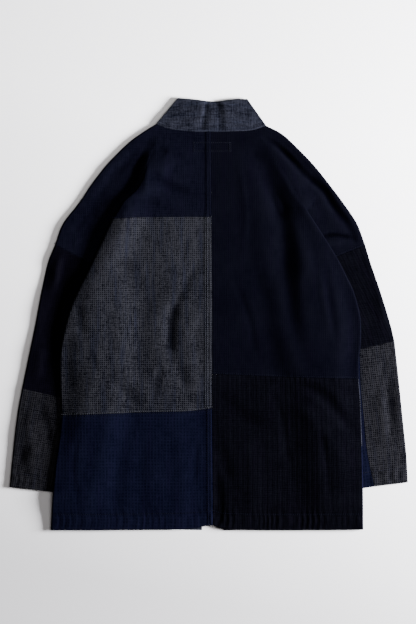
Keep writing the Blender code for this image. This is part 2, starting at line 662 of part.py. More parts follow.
def build_back():
    """All panels of the back; gives the stations of the side edges for the fronts."""
    left = Shoulder(CREST_LEFT, EDGE_LEFT_YOKE, YOKE_ROWS, FOOT_LEFT, CENTRE_UPPER, YOKE_SEAM,
                    SHOULDER_LEFT, SHOULDER_LEFT_END, ARMHOLE_LEFT)
    right = Shoulder(CREST_RIGHT, EDGE_RIGHT_UPPER, UPPER_ROWS, FOOT_RIGHT, CENTRE_RIGHT_UPPER,
                     RIGHT_SEAM, SHOULDER_RIGHT, SHOULDER_RIGHT_END, ARMHOLE_RIGHT)
    left.build("back_left_yoke", "navy", left_back_height)
    right.build("back_right_upper", "navy", back_height)
    columns = np.linspace(0.0, 1.0, BODY_COLUMNS)
    middle_side = curve(EDGE_LEFT_MIDDLE, MIDDLE_ROWS)
    lines = (YOKE_SEAM, MIDDLE_SEAM, middle_side, curve(CENTRE_MIDDLE, MIDDLE_ROWS))
    build_back_panel("back_left_middle", "grey", lines, left_back_height, tucked_turn, columns)
    lower_side = hem_stations(EDGE_LEFT_LOWER, LOWER_ROWS)
    lines = (MIDDLE_SEAM, HEM_LEFT, lower_side, hem_stations(CENTRE_LOWER, LOWER_ROWS))
    build_back_panel("back_left_lower", "blue", lines, left_back_height, level_turn, columns)
    rib_side = hem_stations(EDGE_RIGHT_LOWER, LOWER_ROWS)
    lines = (RIGHT_SEAM, HEM_RIGHT, rib_side, hem_stations(CENTRE_RIGHT_LOWER, LOWER_ROWS))
    shares, raised = ribbed_columns(RIBBED_BACK)
    build_back_panel("back_right_lower", "ribbed", lines, back_height, right_turn, shares, raised)
    return np.vstack([middle_side, lower_side[1:]]), right.side, rib_side


def hem_stations(line, count):
    """Stations on a line that ends at the hem, with one where the hem's fold begins."""
    dense = curve(line, 200)
    length = run_lengths(dense)[-1]
    fold = (length - HEM_DEPTH) / length
    shares = np.concatenate([np.linspace(0.0, fold, count - 2), [(fold + 1) / 2, 1.0]])
    return by_length(dense, shares, 0.0, 0.0)


def build_fronts(left_side, right_side, rib_side):
    """The hidden fronts: one plain panel on the left, three patched panels on the right."""
    left_side = left_side[left_side[:, 1] < FRONT_JOINS]
    outline = stations((SHOULDER_LEFT, CREST_ROWS), (SHOULDER_LEFT_END, FOOT_ROWS))
    rows = front_rows(-1, outline, FRONT_LEFT_TURN, left_side, BAND_SEAM_LEFT, LEVEL)
    build_front("front_left", "navy", rows, (0, 0))
    right_side = right_side[right_side[:, 1] < FRONT_JOINS]
    outline = stations((SHOULDER_RIGHT, CREST_ROWS), (SHOULDER_RIGHT_END, FOOT_ROWS))
    rows = front_rows(1, outline, FRONT_RIGHT_TURN, right_side, BAND_SEAM_RIGHT, LEVEL)
    build_front("front_right_upper", "navy", rows, (0, 1))
    rows = front_rows(1, [], [], rib_side, BAND_SEAM_RIGHT, RIGHT_TURN)
    split = next(index for index, point in enumerate(rib_side) if point[1] < FRONT_PATCH)
    build_front("front_right_middle", "grey", rows[:split + 1], (1, 1))
    build_front("front_right_lower", "blue", rows[split:], (1, 0))


def build_sleeves():
    """Two pieces of the left sleeve and three of the right."""
    plain, narrow = np.linspace(0.0, 1.0, 8), np.linspace(0.0, 1.0, 5)
    lines = (ARMHOLE_LEFT[::-1], SLEEVE_LEFT_SEAM, SLEEVE_LEFT_OUT, SLEEVE_LEFT_IN)
    build_sleeve("sleeve_left_upper", "navy", lines, 11, plain)
    lines = (SLEEVE_LEFT_SEAM, CUFF_LEFT, CUFF_LEFT_OUT, CUFF_LEFT_IN)
    build_sleeve("sleeve_left_lower", "grey", lines, 8, plain)
    lines = (ARMHOLE_RIGHT[::-1], SLEEVE_RIGHT_SEAM, SLEEVE_RIGHT_OUT, SLEEVE_RIGHT_IN)
    shares, raised = ribbed_columns(RIBBED_SLEEVE, HIDDEN_SLEEVE)
    build_sleeve("sleeve_right_upper", "ribbed", lines, 8, shares, raised=raised)
    lines = (GREY_TOP, GREY_CUFF, CUFF_RIGHT_OUT, BLUE_SEAM)
    build_sleeve("sleeve_right_lower", "grey", lines, 11, narrow, ring=False)
    lines = (BLUE_TOP, BLUE_CUFF, CUFF_RIGHT_IN, BLUE_SEAM)
    build_sleeve("sleeve_right_inner", "blue", lines, 11, narrow, ring=False)


def clear_scene():
    """Remove every object of the start-up scene."""
    for thing in list(bpy.data.objects):
        bpy.data.objects.remove(thing, do_unlink=True)


def centre_on_floor():
    """Put the middle of the jacket's box over the origin, with its underside at zero."""
    made = [thing for thing in bpy.data.objects if thing.type == "MESH"]
    points = np.array([tuple(vertex.co) for thing in made for vertex in thing.data.vertices])
    low, high = points.min(axis=0), points.max(axis=0)
    shift = np.array([(low[0] + high[0]) / 2, (low[1] + high[1]) / 2, low[2]])
    for thing in made:
        for vertex in thing.data.vertices:
            vertex.co = np.array(vertex.co) - shift


def main():
    """Build the whole jacket."""
    clear_scene()
    left_side, right_side, rib_side = build_back()
    build_fronts(left_side, right_side, rib_side)
    build_band("band_left", BAND_SEAM_LEFT, BAND_EDGE_LEFT)
    build_band("band_right", BAND_SEAM_RIGHT, BAND_EDGE_RIGHT)
    build_collar()
    build_sleeves()
    centre_on_floor()


main()
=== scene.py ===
"""Dress a patched indigo work jacket that lies flat on its front, with its back up.

Every piece of cloth is a thin wall on the form of its solid, with finer folds, rolled edges,
seams, puckers, ribs and stitches. Tables are in millimetres in the jacket's own plan: +X to
the right, +Y to the collar and +Z up from the surface that the jacket lies on.
"""

import logging
import math
from dataclasses import dataclass, field
from enum import Enum
from typing import Callable, Sequence

import bpy
import numpy as np
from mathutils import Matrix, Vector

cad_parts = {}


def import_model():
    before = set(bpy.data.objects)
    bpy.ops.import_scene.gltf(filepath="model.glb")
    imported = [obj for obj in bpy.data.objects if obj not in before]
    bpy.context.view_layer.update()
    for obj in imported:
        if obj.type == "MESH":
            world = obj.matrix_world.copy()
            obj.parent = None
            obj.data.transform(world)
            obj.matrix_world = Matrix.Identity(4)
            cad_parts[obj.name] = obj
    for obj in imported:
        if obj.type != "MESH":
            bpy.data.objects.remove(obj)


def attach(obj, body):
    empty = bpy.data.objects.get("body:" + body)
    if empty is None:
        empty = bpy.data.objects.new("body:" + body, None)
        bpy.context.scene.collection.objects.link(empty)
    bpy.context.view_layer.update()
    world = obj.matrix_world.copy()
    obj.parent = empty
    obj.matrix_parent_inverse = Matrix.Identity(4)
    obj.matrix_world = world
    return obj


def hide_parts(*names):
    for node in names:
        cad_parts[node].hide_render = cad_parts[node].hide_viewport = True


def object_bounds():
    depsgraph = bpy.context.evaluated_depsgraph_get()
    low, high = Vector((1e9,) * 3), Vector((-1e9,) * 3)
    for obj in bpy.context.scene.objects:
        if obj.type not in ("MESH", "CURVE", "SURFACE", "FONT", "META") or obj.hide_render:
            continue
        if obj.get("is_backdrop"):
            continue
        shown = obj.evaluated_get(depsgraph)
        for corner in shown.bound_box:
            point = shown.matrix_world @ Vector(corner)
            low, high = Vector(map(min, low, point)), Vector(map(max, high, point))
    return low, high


Array = np.ndarray
Point = tuple[float, float]
Colour = tuple[float, float, float]
HeightRule = Callable[[Array, Array], Array]

LOG = logging.getLogger("jacket")
MM = 0.001
BODY = "root"

CENTRING_Y = 0.5            # the solids' box is centred, which moves the plan by this
CLOTH, BAND_CLOTH = 1.6, 2.4                # walls of the cloth and of the folded bands
SEAM_GAP, SEAM_LAP = 0.3, 0.9               # room between sewn pieces, and the sleeves' lap
BODY_RISE, SLEEVE_RISE = 7.0, 7.0           # outer faces over the surface, laid flat
SLEEVE_LIFT, HEM_LIFT, RAMP = 7.6, 0.15, 22.0    # the body climbs this high over a sleeve
NECK_Y, CREST_LENGTH = 370.0, 150.0         # it begins to climb below the neck, over this length
FRONT_CLIMB_Y, FRONT_CLIMB = 90.0, 28.0     # and the fronts begin at the armholes
HEM_Y, HEM_SETTLE = -421.0, 70.0            # the body settles toward the hem
HEM_DEPTH, HEM_EXTRA = 29.0, 0.6            # the doubled hem
FELL_X, FELL_WIDTH, FELL_RISE = 7.0, 12.0, 1.1   # the lapped seam at the centre of the back
RIB_PITCH, RIB_HEIGHT, RIB_FULLNESS, RIB_CHANGE = 9.6, 0.38, 0.7, 0.18
RIB_COLUMNS = 6             # columns of points on each rib
LEAST_STACK = 4.8           # least height of the back over the fronts
STEEPEST = 1.5              # most that a slope thickens the wall, measured upright
FRONT_LIFTS, FRONT_JOINS, FRONT_PATCH = 70.0, 22.0, -257.0   # y at which the fronts change
FRONT_BREAKS, FRONT_TOP = (0.35, 0.5), (350.0, 168.0)
FRONT_OUTLINE_ROWS, FRONT_TURN_ROWS = (36, 24), 40
TUCK_Y, TUCK_ROLL, CREST_ROLL, TUCK_HEIGHT = 60.0, 7.2, 7.0, 13.0
TUCKED, LEVEL, RIGHT_TURN = -80.0, 0.0, 62.0     # angles at which an edge's cloth ends
TUCK_EASE = 45.0            # the side edge tucks under over this length below the shoulder
HOLD_LENGTH = 60.0          # and holds up the shoulder cap over this length
HOLD_DROP, HOLD_EASE = 2.0, 12.0            # a little lower past the end of the fold
CAP_COLUMNS, CAP_SPREAD = 42, 1.15          # the cap's columns stand closer at the fold
SHOWN_FROM, SHOWN_OVER = 5.0, 14.0          # distance off the body from which a sleeve has folds
BAND_WIDTH, BAND_STEP = 60.0, 6.0
COLLAR_LENGTH, COLLAR_WIDTH, COLLAR_STEP = 200.0, 60.0, 2.4
COLLAR_FOLD, COLLAR_BOW = 1.95, 0.8         # radius of its fold, and how far it bows up
COLLAR_RAISED, COLLAR_SHORT = 0.6, 4.0      # its seam over the back's, and the inner layer's end
COLLAR_ANGLES = np.linspace(75.0, -75.0, 7)
COLLAR_STITCH, STITCH_DENT, STITCH_DENT_WIDTH = 0.12, 0.35, 0.025   # the dent that its sewing leaves
COLLAR_STITCH_POINTS = 110
COLLAR_FLAT_FROM, COLLAR_FLAT_OVER = 0.37, 0.08  # off the bands beyond this share of its length

FABRIC_STEP = 3.6           # usual distance between points on the cloth
FINE_STEPS = (0.0, 0.35, 0.8, 1.4, 2.4)   # closer ones at a sewn or free end
EDGE_ROUND = 1.5            # an end of the cloth is rounded off over this length
THINNEST = 0.2              # share of the wall that is left there
ROLL_STEPS = 9              # columns of a rolled edge
UNDER_STEPS = 14            # columns of a layer that lies hidden
LINE_POINTS, NECK_POINTS, ROW_POINTS, BEND_POINTS = 60, 240, 25, 13
# How far a point stands out sets both its wear and the shade painted into its hollows.
WEAR_AND_SHADE_REACH, WEAR_AND_SHADE_HEIGHT = 6, 1.9            # steps round a point, and the height that counts as full

Table = Sequence[tuple[float, ...]]

CREST_LEFT = ((-75, 361), (-93, 339), (-109, 314), (-119, 288), (-127, 262), (-140, 241), (-163, 220))
CREST_RIGHT = ((86, 358), (106, 339), (125, 310), (151, 273), (176, 230), (190, 207))
EDGE_LEFT_YOKE = ((-163, 220), (-185, 185))
EDGE_LEFT_MIDDLE = ((-185, 185), (-201, 150), (-230, 88), (-261, 25), (-278, -29), (-287, -82),
                    (-287, -129), (-284, -197))
EDGE_LEFT_LOWER = ((-284, -197), (-288, -238), (-295, -285), (-301, -343), (-306, -421))
EDGE_RIGHT_UPPER = ((190, 207), (223, 156), (252, 109), (272, 70), (285, 41), (297, -6), (298, -55),
                    (294, -90), (294, -126))
EDGE_RIGHT_LOWER = ((294, -126), (297, -168), (299, -218), (301, -285), (302, -343), (303, -420))
FOOT_LEFT = ((-163, 220), (-166, 194), (-183, 160), (-196, 125), (-210, 92))
FOOT_RIGHT = ((190, 207), (190, 182), (203, 152), (209, 125), (211, 92))
SHOULDER_LEFT = ((-101, 370), (-128, 353), (-156, 332), (-196, 292), (-226, 254))
SHOULDER_LEFT_END = ((-226, 254), (-253, 214), (-282, 176), (-298, 134))
SHOULDER_RIGHT = ((114, 367), (143, 352), (166, 332), (205, 292), (236, 254))
SHOULDER_RIGHT_END = ((236, 254), (266, 214), (291, 176), (307, 134))
ARMHOLE_LEFT = ((-210, 92), (-254, 112), (-298, 134))
ARMHOLE_RIGHT = ((211, 92), (259, 115), (307, 134))
CENTRE_UPPER = ((6, 355), (7, 189))
CENTRE_MIDDLE = ((7, 189), (8, 27), (8, -183))
CENTRE_LOWER = ((8, -183), (9, -304), (10, -411))
CENTRE_RIGHT_UPPER = ((6, 355), (7, 189), (8, 27), (8, -117))
CENTRE_RIGHT_LOWER = ((8, -117), (8, -187), (9, -304), (10, -411))
YOKE_SEAM = ((-185, 185), (-132, 188), (-54, 189), (7, 189))
MIDDLE_SEAM = ((-284, -197), (-220, -195), (-144, -192), (-40, -189), (8, -183))
RIGHT_SEAM = ((294, -126), (180, -124), (82, -120), (8, -117))
HEM_LEFT = ((-306, -421), (-210, -421), (-113, -420), (-35, -418), (-7, -413), (10, -411))
HEM_RIGHT = ((303, -420), (199, -421), (102, -421), (32, -419), (10, -411))
BAND_SEAM_LEFT = ((-101, 370), (-83, 320), (-70, 252), (-66, 27), (-70, -420))
BAND_SEAM_RIGHT = ((114, 367), (106, 320), (92, 252), (90, 27), (92, -420))
BAND_EDGE_LEFT = ((-56, 416), (-35, 369), (-17, 281), (-11, 222), (-11, -421))
BAND_EDGE_RIGHT = ((77, 415), (57, 369), (39, 281), (32, 222), (31, -422))
COLLAR_TOP = ((-58, 421), (-25, 418), (12, 414), (47, 418), (77, 419))
COLLAR_FOOT = ((-101, 370), (-75, 361), (-35, 356), (6, 355), (47, 356), (86, 358), (114, 367))
SLEEVE_LEFT_OUT = ((-298, 134), (-312, 98), (-325, 39), (-336, -20), (-348, -78), (-362, -145))
SLEEVE_LEFT_IN = ((-210, 92), (-187, 27), (-187, -70), (-202, -183))
SLEEVE_LEFT_SEAM = ((-362, -145), (-290, -162), (-202, -183))
CUFF_LEFT_OUT = ((-362, -145), (-371, -195), (-380, -273), (-386, -337))
CUFF_LEFT_IN = ((-202, -183), (-241, -354))
CUFF_LEFT = ((-386, -337), (-308, -346), (-241, -354))
SLEEVE_RIGHT_OUT = ((307, 134), (318, 98), (338, 39), (356, -20), (364, -53))
SLEEVE_RIGHT_IN = ((211, 92), (192, 27), (195, -90))
SLEEVE_RIGHT_SEAM = ((364, -53), (295, -69), (195, -90))
CUFF_RIGHT_OUT = ((364, -53), (373, -136), (381, -214), (387, -273), (390, -328))
CUFF_RIGHT_IN = ((195, -90), (215, -168), (240, -349))
BLUE_SEAM = ((295, -69), (298, -148), (304, -207), (307, -246), (314, -291), (324, -336))
GREY_TOP = ((364, -53), (295, -69))
GREY_CUFF = ((390, -328), (324, -336))
BLUE_TOP = ((195, -90), (295, -69))
BLUE_CUFF = ((240, -349), (324, -336))

# How far the layers under the body reach: y, x.
UNDER_LEFT = ((361, -78), (339, -99), (314, -115), (288, -125), (262, -133), (241, -146), (220, -168),
              (190, -166), (160, -175), (125, -188), (96, -202), (62, -190), (27, -179),
              (-70, -179), (-183, -194), (-353, -233), (-420, -240))
UNDER_RIGHT = ((358, 92), (339, 112), (310, 131), (273, 157), (230, 182), (207, 196),
               (180, 189), (152, 195), (125, 201), (96, 200), (62, 184), (27, 180),
               (-90, 187), (-168, 207), (-349, 232), (-420, 240))
# Hidden side lines of the fronts: x, y, y at the band.
FRONT_LEFT_TURN = ((-292, 132, 158), (-254, 113, 144), (-210, 93, 118), (-193, 84, 100),
                   (-179, 62, 80), (-183, 35, 58), (-205, 18, 38))
FRONT_RIGHT_TURN = ((301, 132, 158), (259, 116, 142), (211, 93, 118), (194, 84, 100),
                    (172, 62, 78), (170, 44, 62), (184, 32, 50), (216, 25, 40))


def linked(name: str, data: bpy.types.ID) -> bpy.types.Object:
    """Make an object and put it in the scene.

    Args:
        name: Its name.
        data: What it shows.

    Returns:
        The object.
    """
    made = bpy.data.objects.new(name, data)
    bpy.context.scene.collection.objects.link(made)
    return made


class Side(Enum):
    """The half of the jacket that a piece belongs to."""

    LEFT = -1
    RIGHT = 1


class Weave(Enum):
    """How a cloth is woven."""

    WAFFLE = "waffle"
    PLAIN = "plain"
    RIBBED = "ribbed"


@dataclass(frozen=True)
class Crease:
    """A soft ridge or trough along a line.

    Attributes:
        half_width: Distance at which it has mostly died away.
        height: Its height, below zero for a trough.
        line: The points that it runs through.
    """

    half_width: float
    height: float
    line: tuple[Point, ...]


@dataclass(frozen=True)
class Pucker:
    """Small gathers across a line of sewing.

    Attributes:
        reach: Distance from the line at which they have mostly died away.
        height: Height of each gather.
        pitch: Distance from one to the next.
        line: The points of the sewing.
        slant: How far a gather leans along the line for each millimetre off it.
    """

    reach: float
    height: float
    pitch: float
    line: tuple[Point, ...]
    slant: float = 0.0


def creases(*rows: tuple[float | Point, ...]) -> tuple[Crease, ...]:
    """Make creases from rows of half-width, height and the points of each line."""
    return tuple(Crease(row[0], row[1], row[2:]) for row in rows)


BODY_FOLDS = creases(
    (9, -1.3, (-12, 105), (-42, 55), (-62, 8)),
    (10, -3.2, (-58, 30), (-68, -8), (-71, -50), (-66, -84)),
    (8, -1.1, (-58, -88), (-50, -112), (-38, -150)),
    (18, 1.4, (-45, 101), (-98, -8), (-98, -66), (-72, -160)),
    (14, 1.1, (18, 60), (-34, -20), (-34, -80), (-12, -160)),
    (12, -1.5, (-192, -122), (-140, -164)),
    (16, 1.0, (-200, -85), (-128, -135)),
    (20, -0.7, (-113, 144), (-109, -51)),
    (11, -2.6, (-247, 30), (-249, 8), (-243, -50)),
    (16, 1.2, (-218, 60), (-210, -60), (-225, -150)),
    (16, -4.2, (98, 310), (112, 284), (124, 256), (138, 224), (148, 186), (155, 150), (158, 100),
     (163, 40), (175, -40), (195, -105)),
    (17, -3.6, (56, 332), (86, 312), (104, 288), (117, 260), (131, 230), (144, 196), (150, 158)),
    (15, -3.0, (140, 230), (166, 190), (190, 150), (216, 100), (238, 40)),
    (8, 1.7, (122, 318), (136, 286), (149, 266), (162, 240), (182, 211), (202, 180), (220, 150), (236, 122)),
    (16, -2.8, (-262, -10), (-270, -90), (-264, -165)),
    (17, 1.3, (95, 220), (115, 110), (140, -20), (165, -100)),
    (14, -1.0, (92, 86), (121, 27)),
    (12, -3.0, (150, -122), (219, -150), (270, -209), (292, -232)),
    (14, 1.4, (120, -150), (190, -190), (250, -260), (262, -340)),
    (14, -1.6, (14, -138), (55, -183), (115, -216)),
    (12, -2.0, (18, -240), (32, -289), (48, -335)),
    (9, -2.6, (16, -290), (22, -350), (23, -425)),
    (14, 1.2, (75, -230), (90, -320), (88, -410)),
    (12, -1.5, (-80, 305), (-118, 318)),
    (12, -1.2, (-118, 268), (-54, 238)),
    (18, 0.9, (-200, -230), (-190, -330), (-200, -430)),
    (16, -1.0, (-120, -225), (-128, -320), (-118, -420)),
    (14, 0.9, (-60, -210), (-48, -330), (-55, -430)),
)
CAP_FOLDS = creases(
    (7, -4.2, (70, 366), (96, 351), (116, 341), (137, 326), (163, 300), (189, 272), (225, 241), (244, 211),
     (267, 182), (286, 146)),
    (5, -2.8, (82, 360), (102, 350), (124, 337), (150, 314), (176, 288)),
    (6, 1.3, (112, 362), (152, 338), (180, 313), (206, 285), (236, 248), (264, 206), (287, 170), (298, 140)),
    (3.4, -3.4, (216, 150), (240, 155), (262, 153), (284, 148)),
    (7, 1.3, (220, 136), (245, 139), (268, 138)),
    (9, -1.4, (-120, 340), (-150, 306), (-205, 240), (-222, 205)),
    (10, 1.4, (-150, 270), (-200, 205), (-232, 160)),
)
SLEEVE_FOLDS = creases(
    (8, 2.8, (-284, 116), (-292, 92), (-298, 50)),
    (20, -3.0, (-256, 92), (-276, 40), (-292, -30), (-304, -90)),
    (8, -1.6, (-309, 100), (-318, 40)),
    (10, 1.8, (-320, -60), (-332, -130)),
    (9, -1.8, (-327, -168), (-300, -262)),
    (10, 1.8, (-352, -190), (-338, -290)),
    (9, -1.5, (-372, -300), (-345, -250)),
    (9, -1.6, (352, -120), (362, -230)),
    (10, 1.8, (336, -130), (346, -260)),
    (9, 1.6, (330, 60), (348, -30)),
)
# Finer creases, which only the dressed cloth has.
BODY_CREASES = creases(
    (9, -1.7, (-110, 286), (-94, 262), (-62, 246), (-32, 232)),
    (6, -1.5, (-100, 326), (-86, 319), (-76, 318)),
    (6, 1.0, (-112, 300), (-119, 270), (-121, 215)),
    (10, 0.7, (-60, 310), (-90, 270), (-96, 222)),
    (8, -0.6, (-125, 232), (-92, 208), (-60, 204)),
    (6, -0.7, (-40, 150), (-50, 90)),
    (5, -0.8, (-235, -60), (-205, -130)),
    (6, -0.8, (-90, -90), (-105, -170)),
    (7, 0.8, (60, 300), (75, 200), (70, 120)),
    (6, -0.9, (55, 60), (82, -10), (95, -80)),
    (6, -0.8, (232, 90), (240, 20), (250, -60)),
    (6, 0.8, (215, 110), (225, 30), (236, -40)),
    (6, -1.0, (130, -150), (150, -230), (160, -320)),
    (6, -0.9, (215, -200), (232, -290), (240, -390)),
    (6, -0.8, (-250, -230), (-262, -300), (-250, -380)),
    (5, -0.8, (-20, -250), (-25, -330)),
)
CAP_CREASES = creases(
    (6, -0.8, (-170, 290), (-200, 262)),
    (5, -0.7, (-235, 190), (-262, 160)),
    (6, 0.7, (180, 280), (215, 235)),
    (5, -0.7, (240, 200), (262, 178)),
    (11, -2.3, (-112, 326), (-123, 308), (-136, 286), (-146, 260), (-164, 238)),
    (24, -2.4, (-128, 290), (-150, 261), (-177, 232), (-208, 193), (-226, 154), (-240, 112)),
    (6, -1.0, (-128, 341), (-112, 332), (-100, 326)),
)
SLEEVE_CREASES = creases(
    (5, -0.9, (-270, 70), (-285, 20)),
    (6, -0.8, (-330, -10), (-345, -60)),
    (5, -0.8, (-345, -170), (-362, -215)),
    (5, -0.7, (-290, -250), (-305, -320)),
    (5, -0.7, (-365, -255), (-350, -325)),
    (5, -0.7, (345, -90), (338, -130)),
    (5, 0.7, (368, -150), (372, -240)),
)
HEM_SEWING_LEFT = ((-303, -390), (-210, -390), (-113, -389), (-35, -387), (9, -382))
HEM_SEWING_RIGHT = ((10, -382), (32, -388), (102, -390), (199, -390), (300, -389))
CUFF_SEWING = (((-380, -309), (-306, -319), (-243, -326)), ((386, -299), (319, -307), (240, -319)))
# The rectangle of stitches inside the neck.
NECK_SEWING = (((-26.8, 317), (-26.8, 333.5)), ((42.0, 317.4), (42.0, 333.2)), ((44.4, 316.8), (44.4, 333.5)),
               ((-26.8, 317), (44.4, 317.3)), ((-26.8, 333.5), (44.4, 333.8)))
PALE_ROWS, DARK_ROWS = (-5.2, -1.2, 3.9), (-1.2, 3.9)    # x of the rows along the centre seam
COLLAR_ROWS = (0.06, 0.13)                  # share of the collar's height
BODY_PUCKERS = (
    Pucker(19, 0.7, 12.5, ((-303, -402), (-210, -402), (-113, -401), (-35, -399), (9, -394)), 0.2),
    Pucker(19, 0.7, 12.5, ((10, -394), (32, -400), (102, -402), (199, -402), (300, -401)), 0.2),
    Pucker(6, 0.35, 10.0, MIDDLE_SEAM),
    Pucker(6, 0.3, 12.0, RIGHT_SEAM),
    Pucker(6, 0.28, 13.0, YOKE_SEAM),
    Pucker(7, 0.3, 9.5, CENTRE_MIDDLE),
    Pucker(7, 0.3, 9.5, CENTRE_LOWER),
    Pucker(7, 0.22, 12.0, CENTRE_UPPER),
)
SLEEVE_PUCKERS = (
    Pucker(13, 0.6, 12.0, ((-383, -320), (-306, -330), (-246, -337)), 0.3),
    Pucker(15, 1.3, 19.0, ((387, -314), (319, -322), (240, -334)), 0.3),
    Pucker(6, 0.35, 10.0, SLEEVE_LEFT_SEAM),
    Pucker(6, 0.3, 10.0, SLEEVE_RIGHT_SEAM),
    Pucker(5, 0.3, 11.0, BLUE_SEAM),
)


def smooth_step(value: Array | float) -> Array:
    """Ease from 0 to 1 as the value goes from 0 to 1."""
    value = np.clip(value, 0.0, 1.0)
    return value * value * (3.0 - 2.0 * value)


def run_lengths(line: Array) -> Array:
    """Length of a line from its start to each of its points."""
    return np.concatenate([[0.0], np.cumsum(np.linalg.norm(np.diff(line, axis=0), axis=1))])


def by_length(line: Array, shares: Array, start: float = 0.0, end: float = 0.0) -> Array:
    """Pick points at shares of a line's length.

    Args:
        line: Points of the line.
        shares: Shares from 0 to 1 of the length between the two insets.
        start: Inset at its start.
        end: Inset at its end.

    Returns:
        One point for each share.
    """
    runs = run_lengths(line)
    at = start + (runs[-1] - start - end) * np.asarray(shares)
    return np.stack([np.interp(at, runs, line[:, axis]) for axis in range(line.shape[1])], axis=1)


def curve(points: Table, shares: Array | int = LINE_POINTS) -> Array:
    """Run a smooth curve through points.

    Args:
        points: The points that it passes.
        shares: Shares of its length, or how many even ones.

    Returns:
        The curve's points at those shares.
    """
    if isinstance(shares, int):
        shares = np.linspace(0.0, 1.0, shares)
    given = np.array(points, float)
    ends = np.vstack([2 * given[0] - given[1], given, 2 * given[-1] - given[-2]])
    steps = np.linspace(0.0, 1.0, BEND_POINTS)[:, None]
    pieces = []
    for before, start, end, after in zip(ends, ends[1:], ends[2:], ends[3:]):
        turn_in, turn_out = (end - before) / 2, (after - start) / 2
        bend = (steps**3 - 2 * steps**2 + steps) * turn_in + (steps**3 - steps**2) * turn_out
        pieces.append(start + (3 * steps**2 - 2 * steps**3) * (end - start) + bend)
    return by_length(np.vstack(pieces), shares)


def line_length(points: Table) -> float:
    """Length of the smooth curve through points."""
    return run_lengths(curve(points))[-1]


def graded(length: float, step: float = FABRIC_STEP, start: bool = True, end: bool = True) -> Array:
    """Shares of a length that stand closer together at sewn or free ends.

    Args:
        length: The length that is divided.
        step: Usual distance between two shares.
        start: Whether the first end has close ones.
        end: Whether the last end has close ones.

    Returns:
        Rising shares from 0 to 1.
    """
    fine = np.array(FINE_STEPS)
    first = fine if start else fine[:1]
    last = length - fine[::-1] if end else np.array([length])
    count = max(2, round((last[0] - first[-1]) / step) + 1)
    middle = np.linspace(first[-1], last[0], count)[1:-1]
    return np.concatenate([first, middle, last]) / length


def reach(table: Table, y: Array) -> Array:
    """The x that a table of (y, x) rows gives at y."""
    ys, xs = zip(*table[::-1])
    return np.interp(y, ys, xs)


def nearest_on(line: Table, x: Array, y: Array) -> tuple[Array, Array]:
    """Find how points lie to a line.

    Args:
        line: Points of the line.
        x: The points' x.
        y: The points' y.

    Returns:
        Distance off the line and distance along it.
    """
    off = np.full(np.shape(x), np.inf)
    along = np.zeros(np.shape(x))
    run_so_far = 0.0
    for (x0, y0), (x1, y1) in zip(line, line[1:]):
        run = np.array([x1 - x0, y1 - y0], float)
        length = float(np.linalg.norm(run))
        share = np.clip(((x - x0) * run[0] + (y - y0) * run[1]) / length**2, 0.0, 1.0)
        away = np.hypot(x - x0 - share * run[0], y - y0 - share * run[1])
        along = np.where(away < off, run_so_far + share * length, along)
        off = np.minimum(off, away)
        run_so_far += length
    return off, along


@dataclass
class Unevenness:
    """Smooth random hills and hollows, the same in each run.

    Attributes:
        seed: Seed of the random lattice.
        size: Distance from one lattice point to the next.
        height: Largest height of a hill.
    """

    seed: int
    size: float
    height: float
    lattice: Array = field(init=False)

    def __post_init__(self) -> None:
        """Fill the lattice."""
        self.lattice = np.random.default_rng(self.seed).uniform(-1.0, 1.0, (LATTICE, LATTICE))

    def at(self, x: Array, y: Array) -> Array:
        """Height at x, y.

        Args:
            x: The points' x.
            y: The points' y.

        Returns:
            The heights.
        """
        u, v = np.asarray(x) / self.size, np.asarray(y) / self.size
        column, row = np.floor(u).astype(int), np.floor(v).astype(int)
        across, down = smooth_step(u - column), smooth_step(v - row)
        total = 0.0
        for step_u, share_u in ((0, 1 - across), (1, across)):
            for step_v, share_v in ((0, 1 - down), (1, down)):
                corner = self.lattice[(column + step_u) % LATTICE, (row + step_v) % LATTICE]
                total = total + corner * share_u * share_v
        return self.height * total


